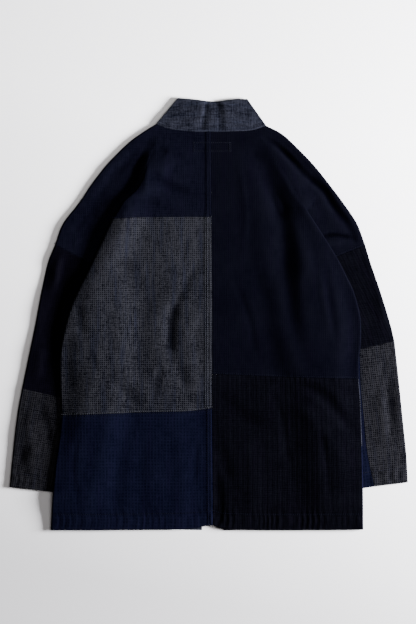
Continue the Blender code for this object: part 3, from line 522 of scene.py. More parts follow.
@dataclass
class Relief:
    """Everything that lifts or sinks a stretch of cloth.

    Attributes:
        folds: The large folds, which the solids have too.
        creases: Finer creases.
        puckers: Gathers along sewing.
        hills: Soft unevenness.
    """

    folds: Sequence[Crease]
    creases: Sequence[Crease]
    puckers: Sequence[Pucker]
    hills: Sequence[Unevenness]
    chart: Array = field(init=False)

    def __post_init__(self) -> None:
        """Draw the relief once on an even grid."""
        steps = np.arange(-CHART_REACH, CHART_REACH + CHART_STEP, CHART_STEP)
        self.chart = self.drawn(*np.meshgrid(steps, steps))

    def at(self, x: Array, y: Array) -> Array:
        """Height that the relief adds at x, y.

        Args:
            x: The points' x.
            y: The points' y.

        Returns:
            The heights.
        """
        u, v = (np.asarray(x) + CHART_REACH) / CHART_STEP, (np.asarray(y) + CHART_REACH) / CHART_STEP
        column, row = np.floor(u).astype(int), np.floor(v).astype(int)
        across, down = u - column, v - row
        near = self.chart[row, column] * (1 - across) + self.chart[row, column + 1] * across
        far = self.chart[row + 1, column] * (1 - across) + self.chart[row + 1, column + 1] * across
        return near * (1 - down) + far * down

    def drawn(self, x: Array, y: Array) -> Array:
        """Work out the relief at x, y.

        Args:
            x: The points' x.
            y: The points' y.

        Returns:
            The heights.
        """
        total = sum((hill.at(x, y) for hill in self.hills), np.zeros(np.shape(x)))
        for crease in (*self.folds, *self.creases):
            line = curve(crease.line, CREASE_POINTS * len(crease.line))
            length = run_lengths(line)[-1]
            off, along = nearest_on(line, x, y)
            fading = smooth_step(along / (CREASE_END * length)) * smooth_step((1 - along / length) / CREASE_END)
            kept = CREASE_REST + (1 - CREASE_REST) * fading
            total = total + crease.height * kept * np.exp(-(off / crease.half_width) ** 2)
        for pucker in self.puckers:
            total = total + self.gathers(pucker, x, y)
        return total

    def gathers(self, pucker: Pucker, x: Array, y: Array) -> Array:
        """Height of one line of gathers, uneven in place and in size.

        Args:
            pucker: The gathers.
            x: The points' x.
            y: The points' y.

        Returns:
            The heights.
        """
        off, along = nearest_on(pucker.line, x, y)
        wander = UNEVEN_PITCH.at(along, along * 0 + pucker.height * 100)
        phase = (along + pucker.slant * off) / pucker.pitch + wander
        size = GATHER_SIZE + UNEVEN_SIZE.at(along, along * 0 + pucker.pitch * 10)
        return pucker.height * size * np.cos(2 * np.pi * phase) * np.exp(-(off / pucker.reach) ** 2)


CHART_REACH, CHART_STEP = 450.0, 1.5        # half the side of a relief's chart, and its grid
CREASE_END, CREASE_REST = 0.3, 0.25         # a crease fades over this share of its length, to this
CREASE_POINTS, LATTICE, GATHER_SIZE = 5, 64, 0.6
BACK_RAMP = 64.0            # the back climbs over the sleeves more gently than the fronts do
EDGE_LOFT, EDGE_FALL, LOFT_WIDTH = 6.2, 2.2, 46.0     # it stands up inside its edge, which sinks
LOFT_NECK, LOFT_NECK_EASE, LOFT_HEM, LOFT_HEM_EASE = 12.0, 80.0, 10.0, 230.0
HIGH_FROM, HIGH_EASE = -210.0, 200.0        # from this y up the left edge lies higher
HIGH_EDGE, HIGH_WIDTH = 9.5, 64.0
EDGE_SLOPE, SLOPE_WIDTH = 4.2, 34.0         # and slopes down to its turn
SEWN_LINES, SEWN_DEPTH, SEWN_WIDTH, SEAM_EASE = (-1.0, 4.4), 0.45, 1.3, 3.0
UNEVEN_PITCH = Unevenness(5, 42.0, 0.9)
UNEVEN_SIZE = Unevenness(6, 26.0, 0.5)


@dataclass
class RestingForm:
    """The heights at which the layers of the jacket lie."""

    body: Relief
    cap: Relief
    sleeve: Relief

    def climb(self, x: Array, y: Array, ramp: float = RAMP) -> Array:
        """Share of the sleeve's height that the body has climbed at x, y.

        Args:
            x: The points' x.
            y: The points' y.
            ramp: Length of the climb.

        Returns:
            Shares from 0 to 1.
        """
        left = smooth_step((reach(UNDER_LEFT, y) + ramp - x) / ramp)
        right = smooth_step((x - reach(UNDER_RIGHT, y) + ramp) / ramp)
        below_cuff = HEM_LIFT + (1 - HEM_LIFT) * smooth_step((y - HEM_Y) / HEM_SETTLE)
        return (left + right) * below_cuff

    def front(self, x: Array, y: Array) -> Array:
        """Height of the fronts' outer face, which is their underside."""
        return SLEEVE_LIFT * self.climb(x, y) * smooth_step((FRONT_CLIMB_Y - y) / FRONT_CLIMB)

    def back(self, x: Array, y: Array) -> Array:
        """Height of the back's outer face, which is its top.

        Args:
            x: The points' x.
            y: The points' y.

        Returns:
            The heights.
        """
        climbed = self.climb(x, y, BACK_RAMP) * smooth_step((NECK_Y - y) / CREST_LENGTH)
        left = smooth_step((y - HIGH_FROM) / HIGH_EASE) * (np.asarray(x) < 0)
        within = -self.beyond_body(x, y)
        high = (HIGH_EDGE - EDGE_SLOPE * (1 - np.clip(within / SLOPE_WIDTH, 0.0, 1.0)) ** 2) * left
        inside = smooth_step(within / (LOFT_WIDTH + HIGH_WIDTH * left))
        loft = (EDGE_LOFT - HIGH_EDGE * left) * inside - EDGE_FALL + high
        loft = loft * smooth_step((NECK_Y - LOFT_NECK - y) / LOFT_NECK_EASE)
        loft = loft * smooth_step((y - HEM_Y - LOFT_HEM) / LOFT_HEM_EASE)
        height = BODY_RISE + SLEEVE_LIFT * climbed + self.body.at(x, y) + loft
        height = height + HEM_EXTRA * smooth_step((HEM_Y + HEM_DEPTH - y) / 2.0)
        return np.maximum(height, self.front(x, y) + LEAST_STACK)

    def left_back(self, x: Array, y: Array) -> Array:
        """Back height on the left half, whose centre edge laps over the right half.

        Args:
            x: The points' x.
            y: The points' y.

        Returns:
            The heights.
        """
        raised = FELL_RISE * smooth_step((x - FELL_X + FELL_WIDTH) / SEAM_EASE)
        for sewn in SEWN_LINES:
            raised = raised - SEWN_DEPTH * np.exp(-((x - sewn) / SEWN_WIDTH) ** 2)
        return self.back(x, y) + raised

    def sewn_back(self, x: Array, y: Array) -> Array:
        """Height of whichever half of the back lies on top."""
        return np.where(np.asarray(x) < FELL_X + 1.0, self.left_back(x, y), self.back(x, y))

    def shoulder_cap(self, x: Array, y: Array) -> Array:
        """Height of the shoulder beyond the fold."""
        below_neck = smooth_step((NECK_Y - y) / (CREST_LENGTH / 2))
        return SLEEVE_RISE + below_neck * self.cap.at(x, y)

    def beyond_body(self, x: Array, y: Array) -> Array:
        """Distance outside the body's side edge.

        Args:
            x: The points' x.
            y: The points' y.

        Returns:
            The distances, below zero inside the body.
        """
        left = [(point[1], -point[0]) for point in CREST_LEFT + EDGE_LEFT_MIDDLE + EDGE_LEFT_LOWER[1:]]
        right = [(point[1], point[0]) for point in CREST_RIGHT + EDGE_RIGHT_UPPER[1:] + EDGE_RIGHT_LOWER[1:]]
        return np.abs(x) - np.where(x < 0, reach(left, y), reach(right, y))

    def sleeve_top(self, x: Array, y: Array) -> Array:
        """Height of a sleeve's upper face, level wherever the body lies on it."""
        shown = smooth_step((self.beyond_body(x, y) - SHOWN_FROM) / SHOWN_OVER)
        return SLEEVE_RISE + shown * self.sleeve.at(x, y)

    def level(self, x: Array, y: Array) -> Array:
        """Height of a face that lies on the surface."""
        return np.zeros(np.shape(x))


@dataclass
class Strip:
    """A row of points on a wall of cloth.

    Attributes:
        outer: Points of the face that shows.
        inner: Points of the face inside.
    """

    outer: Array
    inner: Array

    @staticmethod
    def joined(*parts: "Strip") -> "Strip":
        """Put stretches of one row end to end."""
        return Strip(np.vstack([part.outer for part in parts]), np.vstack([part.inner for part in parts]))

    def turned(self) -> "Strip":
        """The same row from its other end."""
        return Strip(self.outer[::-1], self.inner[::-1])


def upright_wall(height: HeightRule, x: Array, y: Array, wall: float) -> Array:
    """Wall thickness measured straight down, so that a sloping wall keeps its thickness.

    Args:
        height: Height rule of the cloth.
        x: The points' x.
        y: The points' y.
        wall: Thickness of the cloth.

    Returns:
        The thickness at each point.
    """
    across = (height(x + 1.0, y) - height(x - 1.0, y)) / 2
    along = (height(x, y + 1.0) - height(x, y - 1.0)) / 2
    return wall * np.minimum(np.sqrt(1 + across**2 + along**2), STEEPEST)


def laid(plan: Array, height: HeightRule, face: int, wall: float = CLOTH, raised: Array | float = 0.0) -> Strip:
    """Lay a row of cloth on a height.

    Args:
        plan: Points of the row in plan.
        height: Rule for the height of its outer face.
        face: +1 for an upper face, -1 for a lower one.
        wall: Thickness of the cloth.
        raised: How far the outer face stands out beyond its height.

    Returns:
        The row's two faces.
    """
    x, y = plan[:, 0], plan[:, 1]
    z = height(x, y)
    outer = np.column_stack([x, y, z + face * raised])
    inner = np.column_stack([x, y, z - face * upright_wall(height, x, y, wall)])
    return Strip(outer, inner)


def rolled(edge: Array, inward: Array, middle: float, radii: Point, angles: Array, wall: float = CLOTH) -> Strip:
    """Roll cloth round an edge.

    Args:
        edge: Outermost plan point of the roll.
        inward: Plan direction from the edge to the cloth.
        middle: Height of the roll's middle.
        radii: Its radius in plan and its radius upward.
        angles: Angles up from the level, in degrees.
        wall: Thickness of the cloth.

    Returns:
        The row's two faces.
    """
    cos, sin = np.cos(np.radians(angles)), np.sin(np.radians(angles))
    faces = []
    for less in (0.0, wall):
        plan = edge + np.outer(radii[0] - (radii[0] - less) * cos, inward)
        faces.append(np.column_stack([plan, middle + (radii[1] - less) * sin]))
    return Strip(*faces)


@dataclass
class ClothWall:
    """A closed wall of cloth, gathered from grids of rows.

    Attributes:
        name: Name of the piece.
        grain: Plan direction of the cloth's length.
    """

    name: str
    grain: Point = (0.0, 1.0)
    outer: list[Array] = field(default_factory=list)
    inner: list[Array] = field(default_factory=list)
    woven: list[Array] = field(default_factory=list)
    raised: list[Array] = field(default_factory=list)
    faces: list[Array] = field(default_factory=list)
    count: int = 0

    def add(self, rows: Sequence[Strip], thickness: Array, reference: int = -1) -> None:
        """Add a grid of rows.

        Args:
            rows: Rows of equal length.
            thickness: Share of the wall's thickness at each point.
            reference: Column from which the weave is measured.
        """
        outer = np.array([row.outer for row in rows])
        inner = np.array([row.inner for row in rows])
        middle, share = (outer + inner) / 2, np.maximum(thickness, THINNEST)[..., None]
        outer, inner = middle + (outer - middle) * share, middle + (inner - middle) * share
        along = np.array(self.grain) / np.linalg.norm(self.grain)
        across = np.array([along[1], -along[0]])
        steps = np.linalg.norm(np.diff(outer, axis=1), axis=2)
        runs = np.concatenate([np.zeros((len(rows), 1)), np.cumsum(steps, axis=1)], axis=1)
        runs = runs - runs[:, reference:][:, :1]
        heading = np.sign((outer[:, -1, :2] - outer[:, 0, :2]) @ across).mean()
        sideways = outer[:, reference, :2] @ across
        cloth_u = sideways[:, None] + (1.0 if heading >= 0 else -1.0) * runs
        cloth_v = outer[..., :2] @ along
        self.woven.append(np.stack([cloth_u, cloth_v], axis=-1).reshape(-1, 2))
        self.raised.append(self.standing_out(outer[..., 2]).reshape(-1))
        height, width = outer.shape[:2]
        index = np.arange(height * width).reshape(height, width) + self.count
        quads = np.stack([index[:-1, :-1], index[:-1, 1:], index[1:, 1:], index[1:, :-1]], axis=-1)
        self.faces.append(quads.reshape(-1, 4))
        self.outer.append(outer.reshape(-1, 3))
        self.inner.append(inner.reshape(-1, 3))
        self.count += height * width

    def build(self) -> bpy.types.Object:
        """Close the wall and make its object.

        Returns:
            The piece, with its weave as a UV map and, as an attribute, how far each point stands out, which sets
            its wear and the shade painted into its hollows.
        """
        outer, inner = np.vstack(self.outer), np.vstack(self.inner)
        woven, faces = np.vstack(self.woven), np.vstack(self.faces)
        raised = np.concatenate(self.raised)
        _, first, shared = np.unique(np.round(outer, 3), axis=0, return_index=True, return_inverse=True)
        shared = shared.reshape(-1)
        merged = shared[faces]
        count = len(first)
        starts, ends = merged.reshape(-1), np.roll(merged, -1, axis=1).reshape(-1)
        corner_from, corner_to = faces.reshape(-1), np.roll(faces, -1, axis=1).reshape(-1)
        backward = set((ends * count + starts).tolist())
        rim = [number for number, key in enumerate((starts * count + ends).tolist()) if key not in backward]
        sides = np.stack([ends[rim], starts[rim], starts[rim] + count, ends[rim] + count], axis=-1)
        side_woven = np.stack([corner_to[rim], corner_from[rim], corner_from[rim], corner_to[rim]], axis=-1)
        polygons = np.vstack([merged, merged[:, ::-1] + count, sides])
        corners = np.vstack([faces, faces[:, ::-1], side_woven])
        points = np.vstack([outer[first], inner[first]])
        if self.signed_volume(points, polygons) < 0:
            polygons, corners = polygons[:, ::-1], corners[:, ::-1]
        points[:, 1] += CENTRING_Y
        data = bpy.data.meshes.new(self.name + "_cloth")
        data.from_pydata((points * MM).tolist(), [], polygons.tolist())
        data.uv_layers.new(name="cloth")
        data.uv_layers["cloth"].uv.foreach_set("vector", (woven[corners.reshape(-1)] * MM).ravel())
        # How far each point stands out: wear on ridges and painted shade in hollows.
        worn = data.attributes.new("raised", "FLOAT", "POINT")
        worn.data.foreach_set("value", np.concatenate([raised[first], raised[first]]).astype(np.float32))
        data.shade_smooth()
        return linked(self.name + "_cloth", data)

    @staticmethod
    def standing_out(height: Array) -> Array:
        """How far each point stands above the cloth round it, from -1 to 1.

        Args:
            height: Heights of a grid of points.

        Returns:
            The shares.
        """
        around = height
        for axis in (0, 1):
            ends = [(WEAR_AND_SHADE_REACH, WEAR_AND_SHADE_REACH) if number == axis else (0, 0) for number in (0, 1)]
            padded, size = np.pad(around, ends, "edge"), height.shape[axis]
            slices = [np.take(padded, range(step, step + size), axis=axis) for step in range(2 * WEAR_AND_SHADE_REACH + 1)]
            around = np.mean(slices, axis=0)
        return np.clip((height - around) / WEAR_AND_SHADE_HEIGHT, -1.0, 1.0)

    @staticmethod
    def signed_volume(points: Array, polygons: Array) -> float:
        """Volume of a closed mesh of four-sided faces, below zero if it is inside out.

        Args:
            points: The mesh's points.
            polygons: Its faces' corners.

        Returns:
            The volume.
        """
        corner = [points[polygons[:, number]] for number in range(4)]
        halves = ((corner[0], corner[1], corner[2]), (corner[0], corner[2], corner[3]))
        return sum(float(np.einsum("ij,ij->", a, np.cross(b, c))) for a, b, c in halves)


def rounding(distances: Array) -> Array:
    """Share of the wall's thickness at distances from an end of the cloth."""
    inside = 1 - np.clip(distances / EDGE_ROUND, 0.0, 1.0)
    return np.clip(np.sqrt(1 - inside**2), THINNEST, 1.0)


def rounded_ends(shares: Array, length: float) -> Array:
    """Share of the wall's thickness at shares of a length with two ends."""
    return rounding(np.minimum(shares, 1 - shares) * length)


def rounded_runs(runs: Array) -> Array:
    """Share of the wall's thickness at distances along a length with two ends."""
    return rounding(np.minimum(runs, runs[-1] - runs))


def tucked_turn(y: float) -> float:
    """Angle at which the back's side edge ends, tucked under as far as the fronts' edge."""
    return TUCKED + (LEVEL - TUCKED) * float(smooth_step((FRONT_JOINS - y) / FRONT_JOINS))


def neck_line(start: float, end: float) -> Array:
    """The stretch of the collar seam between two x, in that order.

    Args:
        start: The first x.
        end: The last x.

    Returns:
        Points of the stretch.
    """
    whole = curve(COLLAR_FOOT, NECK_POINTS)
    xs = np.linspace(start, end, ROW_POINTS)
    return np.column_stack([xs, np.interp(xs, whole[:, 0], whole[:, 1])])


def patch(top: Array, bottom: Array, start: Array, end: Array, down: Array) -> list[Array]:
    """Fill four boundary lines with rows of plan points.

    Args:
        top: Points of the first line.
        bottom: Points of the last line.
        start: The first point of each row.
        end: The last point of each row.
        down: Share of the way from top to bottom of each row.

    Returns:
        The rows.
    """
    across = np.linspace(0.0, 1.0, ROW_POINTS)
    top_line, bottom_line = by_length(top, across), by_length(bottom, across)
    rows = []
    for first, last, share in zip(start, end, down):
        line = (1 - share) * top_line + share * bottom_line
        rows.append(line + np.outer(1 - across, first - line[0]) + np.outer(across, last - line[-1]))
    return rows


@dataclass
class Panel:
    """What every flat piece of the body shares.

    Attributes:
        name: Name of the piece and of the solid that it replaces.
        form: The heights at which the cloth lies.
    """

    name: str
    form: RestingForm

    def edge_round(self, row: Array, flat_height: HeightRule) -> tuple[Array, Array, float, Point]:
        """Find how a body row's side edge turns over.

        Args:
            row: Plan points of the row, from its side edge.
            flat_height: Height of the cloth that the roll leads into.

        Returns:
            The edge, the inward direction, the roll's middle height and its two radii.
        """
        edge = row[0]
        inward = np.array([math.copysign(1.0, row[-1][0] - edge[0]), 0.0])
        x, y = edge[:1], edge[1:2]
        rough_top = SLEEVE_LIFT * float(self.form.climb(x, y)[0]) + BODY_RISE
        bottom = float(self.form.front(x, y)[0])
        if y[0] > TUCK_Y:
            bottom = max(bottom, rough_top - (TUCK_ROLL if rough_top > TUCK_HEIGHT else CREST_ROLL))
        flat_radius = (rough_top - bottom) / 2
        start = edge + flat_radius * inward
        top = float(flat_height(start[:1], start[1:2])[0])
        return edge, inward, (top + bottom) / 2, (flat_radius, (top - bottom) / 2)


@dataclass
class BackRowMaker(Panel):
    """Makes the rows of a back panel."""

    def row(self, line: Array, shares: Array, height: HeightRule, turn: float, shown: float = 1.0,
            raised: Array | float = 0.0) -> Strip:
        """Make one row: the round of its side edge, then the panel to its far side.

        Args:
            line: Plan points of the row from the side edge to the centre.
            shares: Shares of the row's length for the columns.
            height: Height rule of the panel.
            turn: Angle at which the cloth ends on the roll.
            shown: How fully the edge is rolled, from 0 to 1.
            raised: Height of ribs at the columns.

        Returns:
            The row.
        """
        edge, inward, middle, radii = self.edge_round(line, height)
        flat = by_length(line, shares, radii[0], SEAM_GAP / 2)
        angles = np.linspace(turn + math.degrees(SEAM_GAP / radii[0]), 90.0, ROLL_STEPS + 1)[:-1]
        turned = rolled(edge, inward, middle, radii, angles)
        if shown < 1.0:
            plan = edge + np.outer(radii[0] - radii[0] * np.cos(np.radians(angles)), inward)
            level = laid(plan, height, 1)
            turned = Strip(shown * turned.outer + (1 - shown) * level.outer,
                           shown * turned.inner + (1 - shown) * level.inner)
        return Strip.joined(turned, laid(flat, height, 1, raised=raised))


@dataclass
class BackPanel(BackRowMaker):
    """A back panel below the shoulder.

    Attributes:
        top: Seam above it.
        bottom: Seam or hem below it.
        side: Its side edge.
        centre: Its centre seam.
        height: Height rule of its half.
        turn: Angle on the roll where it meets the front, for a y.
        ribs: Number of raised ribs across it.
    """

    top: Table = ()
    bottom: Table = ()
    side: Table = ()
    centre: Table = ()
    height: HeightRule | None = None
    turn: Callable[[float], float] = lambda y: LEVEL
    ribs: int = 0

    def build(self) -> bpy.types.Object:
        """Make the panel's closed wall.

        Returns:
            The piece.
        """
        length = line_length(self.side)
        down = graded(length)
        side, centre = curve(self.side, down), curve(self.centre, down)
        plan = patch(curve(self.top), curve(self.bottom), side, centre, down)
        plan[0][:, 1] -= SEAM_GAP / 2
        if self.bottom not in (HEM_LEFT, HEM_RIGHT):
            plan[-1][:, 1] += SEAM_GAP / 2
        width = run_lengths(plan[len(plan) // 2])[-1]
        shares = self.rib_shares() if self.ribs else graded(width, start=False)
        raised = self.rib_heights(shares) if self.ribs else 0.0
        rows = [self.row(line, shares, self.height, self.turn(point[1]), 1.0, raised)
                for line, point in zip(plan, side)]
        wall = ClothWall(self.name)
        across = np.concatenate([np.ones(ROLL_STEPS), rounding((1 - shares) * width)])
        wall.add(rows, np.outer(rounded_ends(down, length), across))
        return wall.build()

    def rib_shares(self) -> Array:
        """The same columns on each rib, and a few close ones at the centre seam."""
        even = np.linspace(0.0, 1.0, RIB_COLUMNS * self.ribs + 1)
        return np.unique(np.concatenate([even, 1 - np.array(FINE_STEPS[1:4]) / RIB_PITCH / self.ribs]))

    def rib_heights(self, shares: Array) -> Array:
        """Rounded ribs with narrow grooves, every other one a little higher.

        Args:
            shares: Shares of the panel's width.

        Returns:
            The ribs' height there.
        """
        phase = shares * self.ribs
        profile = np.abs(np.sin(np.pi * phase)) ** RIB_FULLNESS
        return RIB_HEIGHT * profile * (1 - RIB_CHANGE + RIB_CHANGE * np.cos(np.pi * np.floor(phase)))


@dataclass
class ShoulderPanel(BackRowMaker):
    """One half's upper back with its shoulder cap, as one piece of cloth.

    Attributes:
        crest: The fold at which the shoulder falls away from the back.
        edge: The side edge below it.
        foot: Where the cap goes on under the back.
        centre: The centre seam.
        seam: The seam below.
        shoulder: The shoulder line beside the crest.
        shoulder_end: The shoulder line beside the foot.
        armhole: The seam to the sleeve.
        height: Height rule of its half.
        roll_from: Share of the fold from which it rolls over.
        roll_over: Share of it in which the roll grows.
        fall_width: Distance from the fold over which the shoulder falls away.
        crest_part: Share of the shoulder line that lies beside the fold.
    """

    crest: Table = ()
    edge: Table = ()
    foot: Table = ()
    centre: Table = ()
    seam: Table = ()
    shoulder: Table = ()
    shoulder_end: Table = ()
    armhole: Table = ()
    height: HeightRule | None = None
    roll_from: float = 0.92
    roll_over: float = 0.25
    fall_width: float = 40.0
    crest_part: float = 0.6

    def build(self) -> bpy.types.Object:
        """Make the back and the cap, joined at the fold.

        Returns:
            The piece.
        """
        crest_length = line_length(self.crest)
        edge_length = line_length(self.edge)
        foot_length = line_length(self.foot)
        crest_down = graded(crest_length, end=False)
        edge_down = graded(edge_length, start=False)
        foot_down = graded(foot_length, start=False)
        crest = curve(self.crest, crest_down)
        side = np.vstack([crest, curve(self.edge, edge_down)[1:]])
        runs = np.concatenate([crest_down * crest_length, crest_length + edge_down[1:] * edge_length])
        down = runs / runs[-1]
        centre = curve(self.centre, down)
        neck = neck_line(side[0, 0], centre[0, 0])
        plan = patch(neck, curve(self.seam), side, centre, down)
        plan[-1][:, 1] += SEAM_GAP / 2
        width = run_lengths(plan[-1])[-1]
        shares = graded(width, start=False)
        rows = []
        for line, run in zip(plan, runs):
            past = max(run - crest_length, 0.0)
            shown = float(smooth_step((run / crest_length - self.roll_from) / self.roll_over))
            turn = tucked_turn(line[0][1]) * min(past / TUCK_EASE, 1.0)
            rows.append(self.row(line, shares, self.height, turn, shown))
        wall = ClothWall(self.name)
        across = np.concatenate([np.ones(ROLL_STEPS), rounding((1 - shares) * width)])
        wall.add(rows, np.outer(rounded_runs(runs), across))
        pairs = [(row.outer[0], row.inner[0]) for row in rows[:len(crest)]]
        self.add_cap(wall, crest, foot_down, foot_length, pairs, crest_down * crest_length)
        return wall.build()

    def add_cap(self, wall: ClothWall, crest: Array, foot_down: Array, foot_length: float,
                pairs: Sequence[tuple[Array, Array]], crest_runs: Array) -> None:
        """Add the shoulder beyond the fold.

        Args:
            wall: The cloth that it belongs to.
            crest: Plan points of the fold.
            foot_down: Shares along the foot.
            foot_length: Length of the foot.
            pairs: The fold's points on the back.
            crest_runs: Lengths along the fold.
        """
        inner_line = np.vstack([crest, curve(self.foot, foot_down)[1:]])
        outline = np.vstack([curve(self.shoulder, crest_runs / crest_runs[-1]),
                             curve(self.shoulder_end, foot_down)[1:]])
        down = np.concatenate([self.crest_part * crest_runs / crest_runs[-1],
                               self.crest_part + (1 - self.crest_part) * foot_down[1:]])
        neck = neck_line(inner_line[0, 0], outline[0, 0])
        plan = patch(neck, curve(self.armhole), inner_line, outline, down)
        plan[-1][:, 1] += SEAM_GAP / 2
        radius = SLEEVE_RISE / 2
        shares = np.linspace(0.0, 1.0, CAP_COLUMNS) ** CAP_SPREAD
        gap = math.degrees(SEAM_GAP / 2 / radius)
        angles = np.linspace(90.0, gap, ROLL_STEPS + 1)[1:]
        rows = []
        for index, line in enumerate(plan):
            inward = (line[-2] - line[-1]) / np.linalg.norm(line[-2] - line[-1])
            flat = by_length(line, shares, 0.0, radius)
            strip = laid(flat, self.form.shoulder_cap, 1)
            if index < len(pairs):
                strip = self.hung_from(pairs[index], flat, strip)
            else:
                lift = self.held_up(pairs[-1][0][2], foot_down[index + 1 - len(pairs)] * foot_length, flat)
                strip.outer[:, 2] += lift
                strip.inner[:, 2] += lift
            top = strip.outer[-1, 2]
            turned = rolled(line[-1], inward, top / 2, (radius, top / 2), angles)
            rows.append(Strip.joined(strip, turned).turned())
        runs = np.concatenate([crest_runs, crest_runs[-1] + foot_down[1:] * foot_length])
        ends = rounded_runs(runs)
        ends[:len(pairs)] = rounding(crest_runs)
        wall.add(rows, np.outer(ends, np.ones(len(rows[0].outer))))

    def held_up(self, top: float, past: float, flat: Array) -> Array:
        """How far the body's edge still holds up the cap below the end of the fold.

        Args:
            top: Height of the end of the fold.
            past: Distance past the end of the fold.
            flat: Plan points of the row.

        Returns:
            What the row rises by.
        """
        away = np.maximum(self.form.beyond_body(flat[:, 0], flat[:, 1]), 0.0)
        under = top - SLEEVE_RISE - HOLD_DROP * float(smooth_step(past / HOLD_EASE))
        return under * (1 - smooth_step(past / HOLD_LENGTH)) * (1 - smooth_step(away / self.fall_width))

    def hung_from(self, pair: tuple[Array, Array], flat: Array, strip: Strip) -> Strip:
        """Let a cap row start at the fold and fall to its own height.

        Args:
            pair: The fold's outer and inner point.
            flat: Plan points of the row.
            strip: The row at its own height.

        Returns:
            The row that starts at the fold.
        """
        away = np.linalg.norm(flat - flat[0], axis=1)
        fall = (pair[0][2] - strip.outer[0, 2]) * (1 - smooth_step(away / self.fall_width))
        for face, start in ((strip.outer, pair[0]), (strip.inner, pair[1])):
            face[:, 2] += fall
            face[0] = start
        return strip


@dataclass
class FrontPanel(Panel):
    """A hidden front, from its outline, armhole and side edge to the band seam.

    Attributes:
        hand: The half that it belongs to.
        outline: Its shoulder lines, if it reaches them.
        turn_table: Its hidden side line between armhole and side edge.
        side: Its side edge.
        band: The seam to the front band.
        turn: Angle on the roll where it meets the back.
        stretch: The first and last y of its side edge.
        gaps: Whether another piece is sewn on above and below.
    """

    hand: Side = Side.LEFT
    outline: tuple[Table, ...] = ()
    turn_table: Table = ()
    side: Table = ()
    band: Table = ()
    turn: float = LEVEL
    stretch: Point = (0.0, HEM_Y)
    gaps: tuple[int, int] = (0, 0)

    def stations(self) -> list[tuple[Array, float, bool]]:
        """Where the rows start, their y at the band and whether they roll over an edge.

        Returns:
            A start, a y and whether it rolls, for each row.
        """
        found = []
        if self.outline:
            lines = [curve(line, count) for line, count in zip(self.outline, FRONT_OUTLINE_ROWS)]
            points = np.vstack([lines[0], lines[1][1:]])
            for point, y in zip(points, np.linspace(*FRONT_TOP, len(points))):
                found.append((point, float(y), True))
            turn = by_length(np.array(self.turn_table, float), np.linspace(0.0, 1.0, FRONT_TURN_ROWS))
            found += [(entry[:2], float(entry[2]), False) for entry in turn]
        upper, lower = self.stretch
        upper, lower = upper - self.gaps[0] * SEAM_GAP / 2, lower + self.gaps[1] * SEAM_GAP / 2
        dense = curve(self.side, 300)[::-1]
        shares = graded(upper - lower, start=not self.outline)
        for y in upper + (lower - upper) * shares:
            found.append((np.array([np.interp(y, dense[:, 1], dense[:, 0]), y]), float(y), True))
        return found

    def build(self) -> bpy.types.Object:
        """Make the front's closed wall.

        Returns:
            The piece.
        """
        band_xs, band_ys = np.array(self.band[::-1], float).T
        under = UNDER_LEFT if self.hand is Side.LEFT else UNDER_RIGHT
        rows = []
        for start, y, is_rolled in self.stations():
            seam_x = float(np.interp(y, band_ys, band_xs)) + self.hand.value * SEAM_GAP / 2
            rows.append(self.front_row(start, np.array([seam_x, y]), is_rolled, under))
        wall = ClothWall(self.name)
        middles = np.array([row.outer[len(row.outer) // 2] for row in rows])
        across = np.ones(len(rows[0].outer))
        across[-1] = THINNEST
        wall.add(rows, np.outer(rounded_runs(run_lengths(middles)), across))
        return wall.build()

    def front_row(self, start: Array, finish: Array, is_rolled: bool, under: Table) -> Strip:
        """Make one row of the front.

        Args:
            start: Its plan point on the outline or side edge.
            finish: Its plan point on the band seam.
            is_rolled: Whether it turns up round an edge there.
            under: How far the layers under the body reach.

        Returns:
            The row.
        """
        length = float(np.linalg.norm(finish - start))
        inward = (finish - start) / length
        middle = radius = SLEEVE_RISE / 2
        radii = (radius, radius)
        seam, breaks = LEVEL, tuple(length * share for share in FRONT_BREAKS)
        if start[1] < FRONT_LIFTS:
            climbed = max(self.hand.value * (start[0] - float(reach(under, start[1]))), radius + 2.0)
            breaks = (climbed, climbed + RAMP)
        if is_rolled and start[1] < FRONT_LIFTS:
            _, _, middle, radii = self.edge_round(np.array([start, finish]), self.form.back)
            seam = self.turn
        first = seam - math.degrees(SEAM_GAP / 2 / radii[0])
        angles = np.linspace(first, -90.0, ROLL_STEPS + 1)[:-1]
        distances = np.concatenate([np.linspace(radii[0], breaks[0], 9)[:-1], np.linspace(*breaks, 9),
                                    np.linspace(breaks[1], length - EDGE_ROUND, 16)[1:], [length]])
        flat = laid(start + np.outer(distances, inward), self.form.front, -1)
        if is_rolled:
            turned = rolled(start, inward, middle, radii, angles)
        else:
            plan = start + np.outer(radii[0] - radii[0] * np.cos(np.radians(angles)), inward)
            turned = laid(plan, self.form.front, -1)
        return Strip.joined(turned, flat)


@dataclass
class FrontBand(Panel):
    """A folded strip that lies along an open front edge.

    Attributes:
        seam: Its sewn edge.
        edge: Its folded edge.
    """

    seam: Table = ()
    edge: Table = ()

    def build(self) -> bpy.types.Object:
        """Make the band's closed wall.

        Returns:
            The piece.
        """
        length = line_length(self.edge)
        down = graded(length, BAND_STEP)
        shift = np.array([math.copysign(SEAM_GAP / 2, self.seam[0][0]), 0.0])
        rows, shares = [], graded(BAND_WIDTH)
        for start, end in zip(curve(self.seam, down), curve(self.edge, down)):
            plan = by_length(np.array([start - shift, end]), shares)
            rows.append(laid(plan, self.form.level, -1, BAND_CLOTH))
        wall = ClothWall(self.name)
        wall.add(rows, np.outer(rounded_ends(down, length), rounded_ends(shares, BAND_WIDTH)))
        return wall.build()


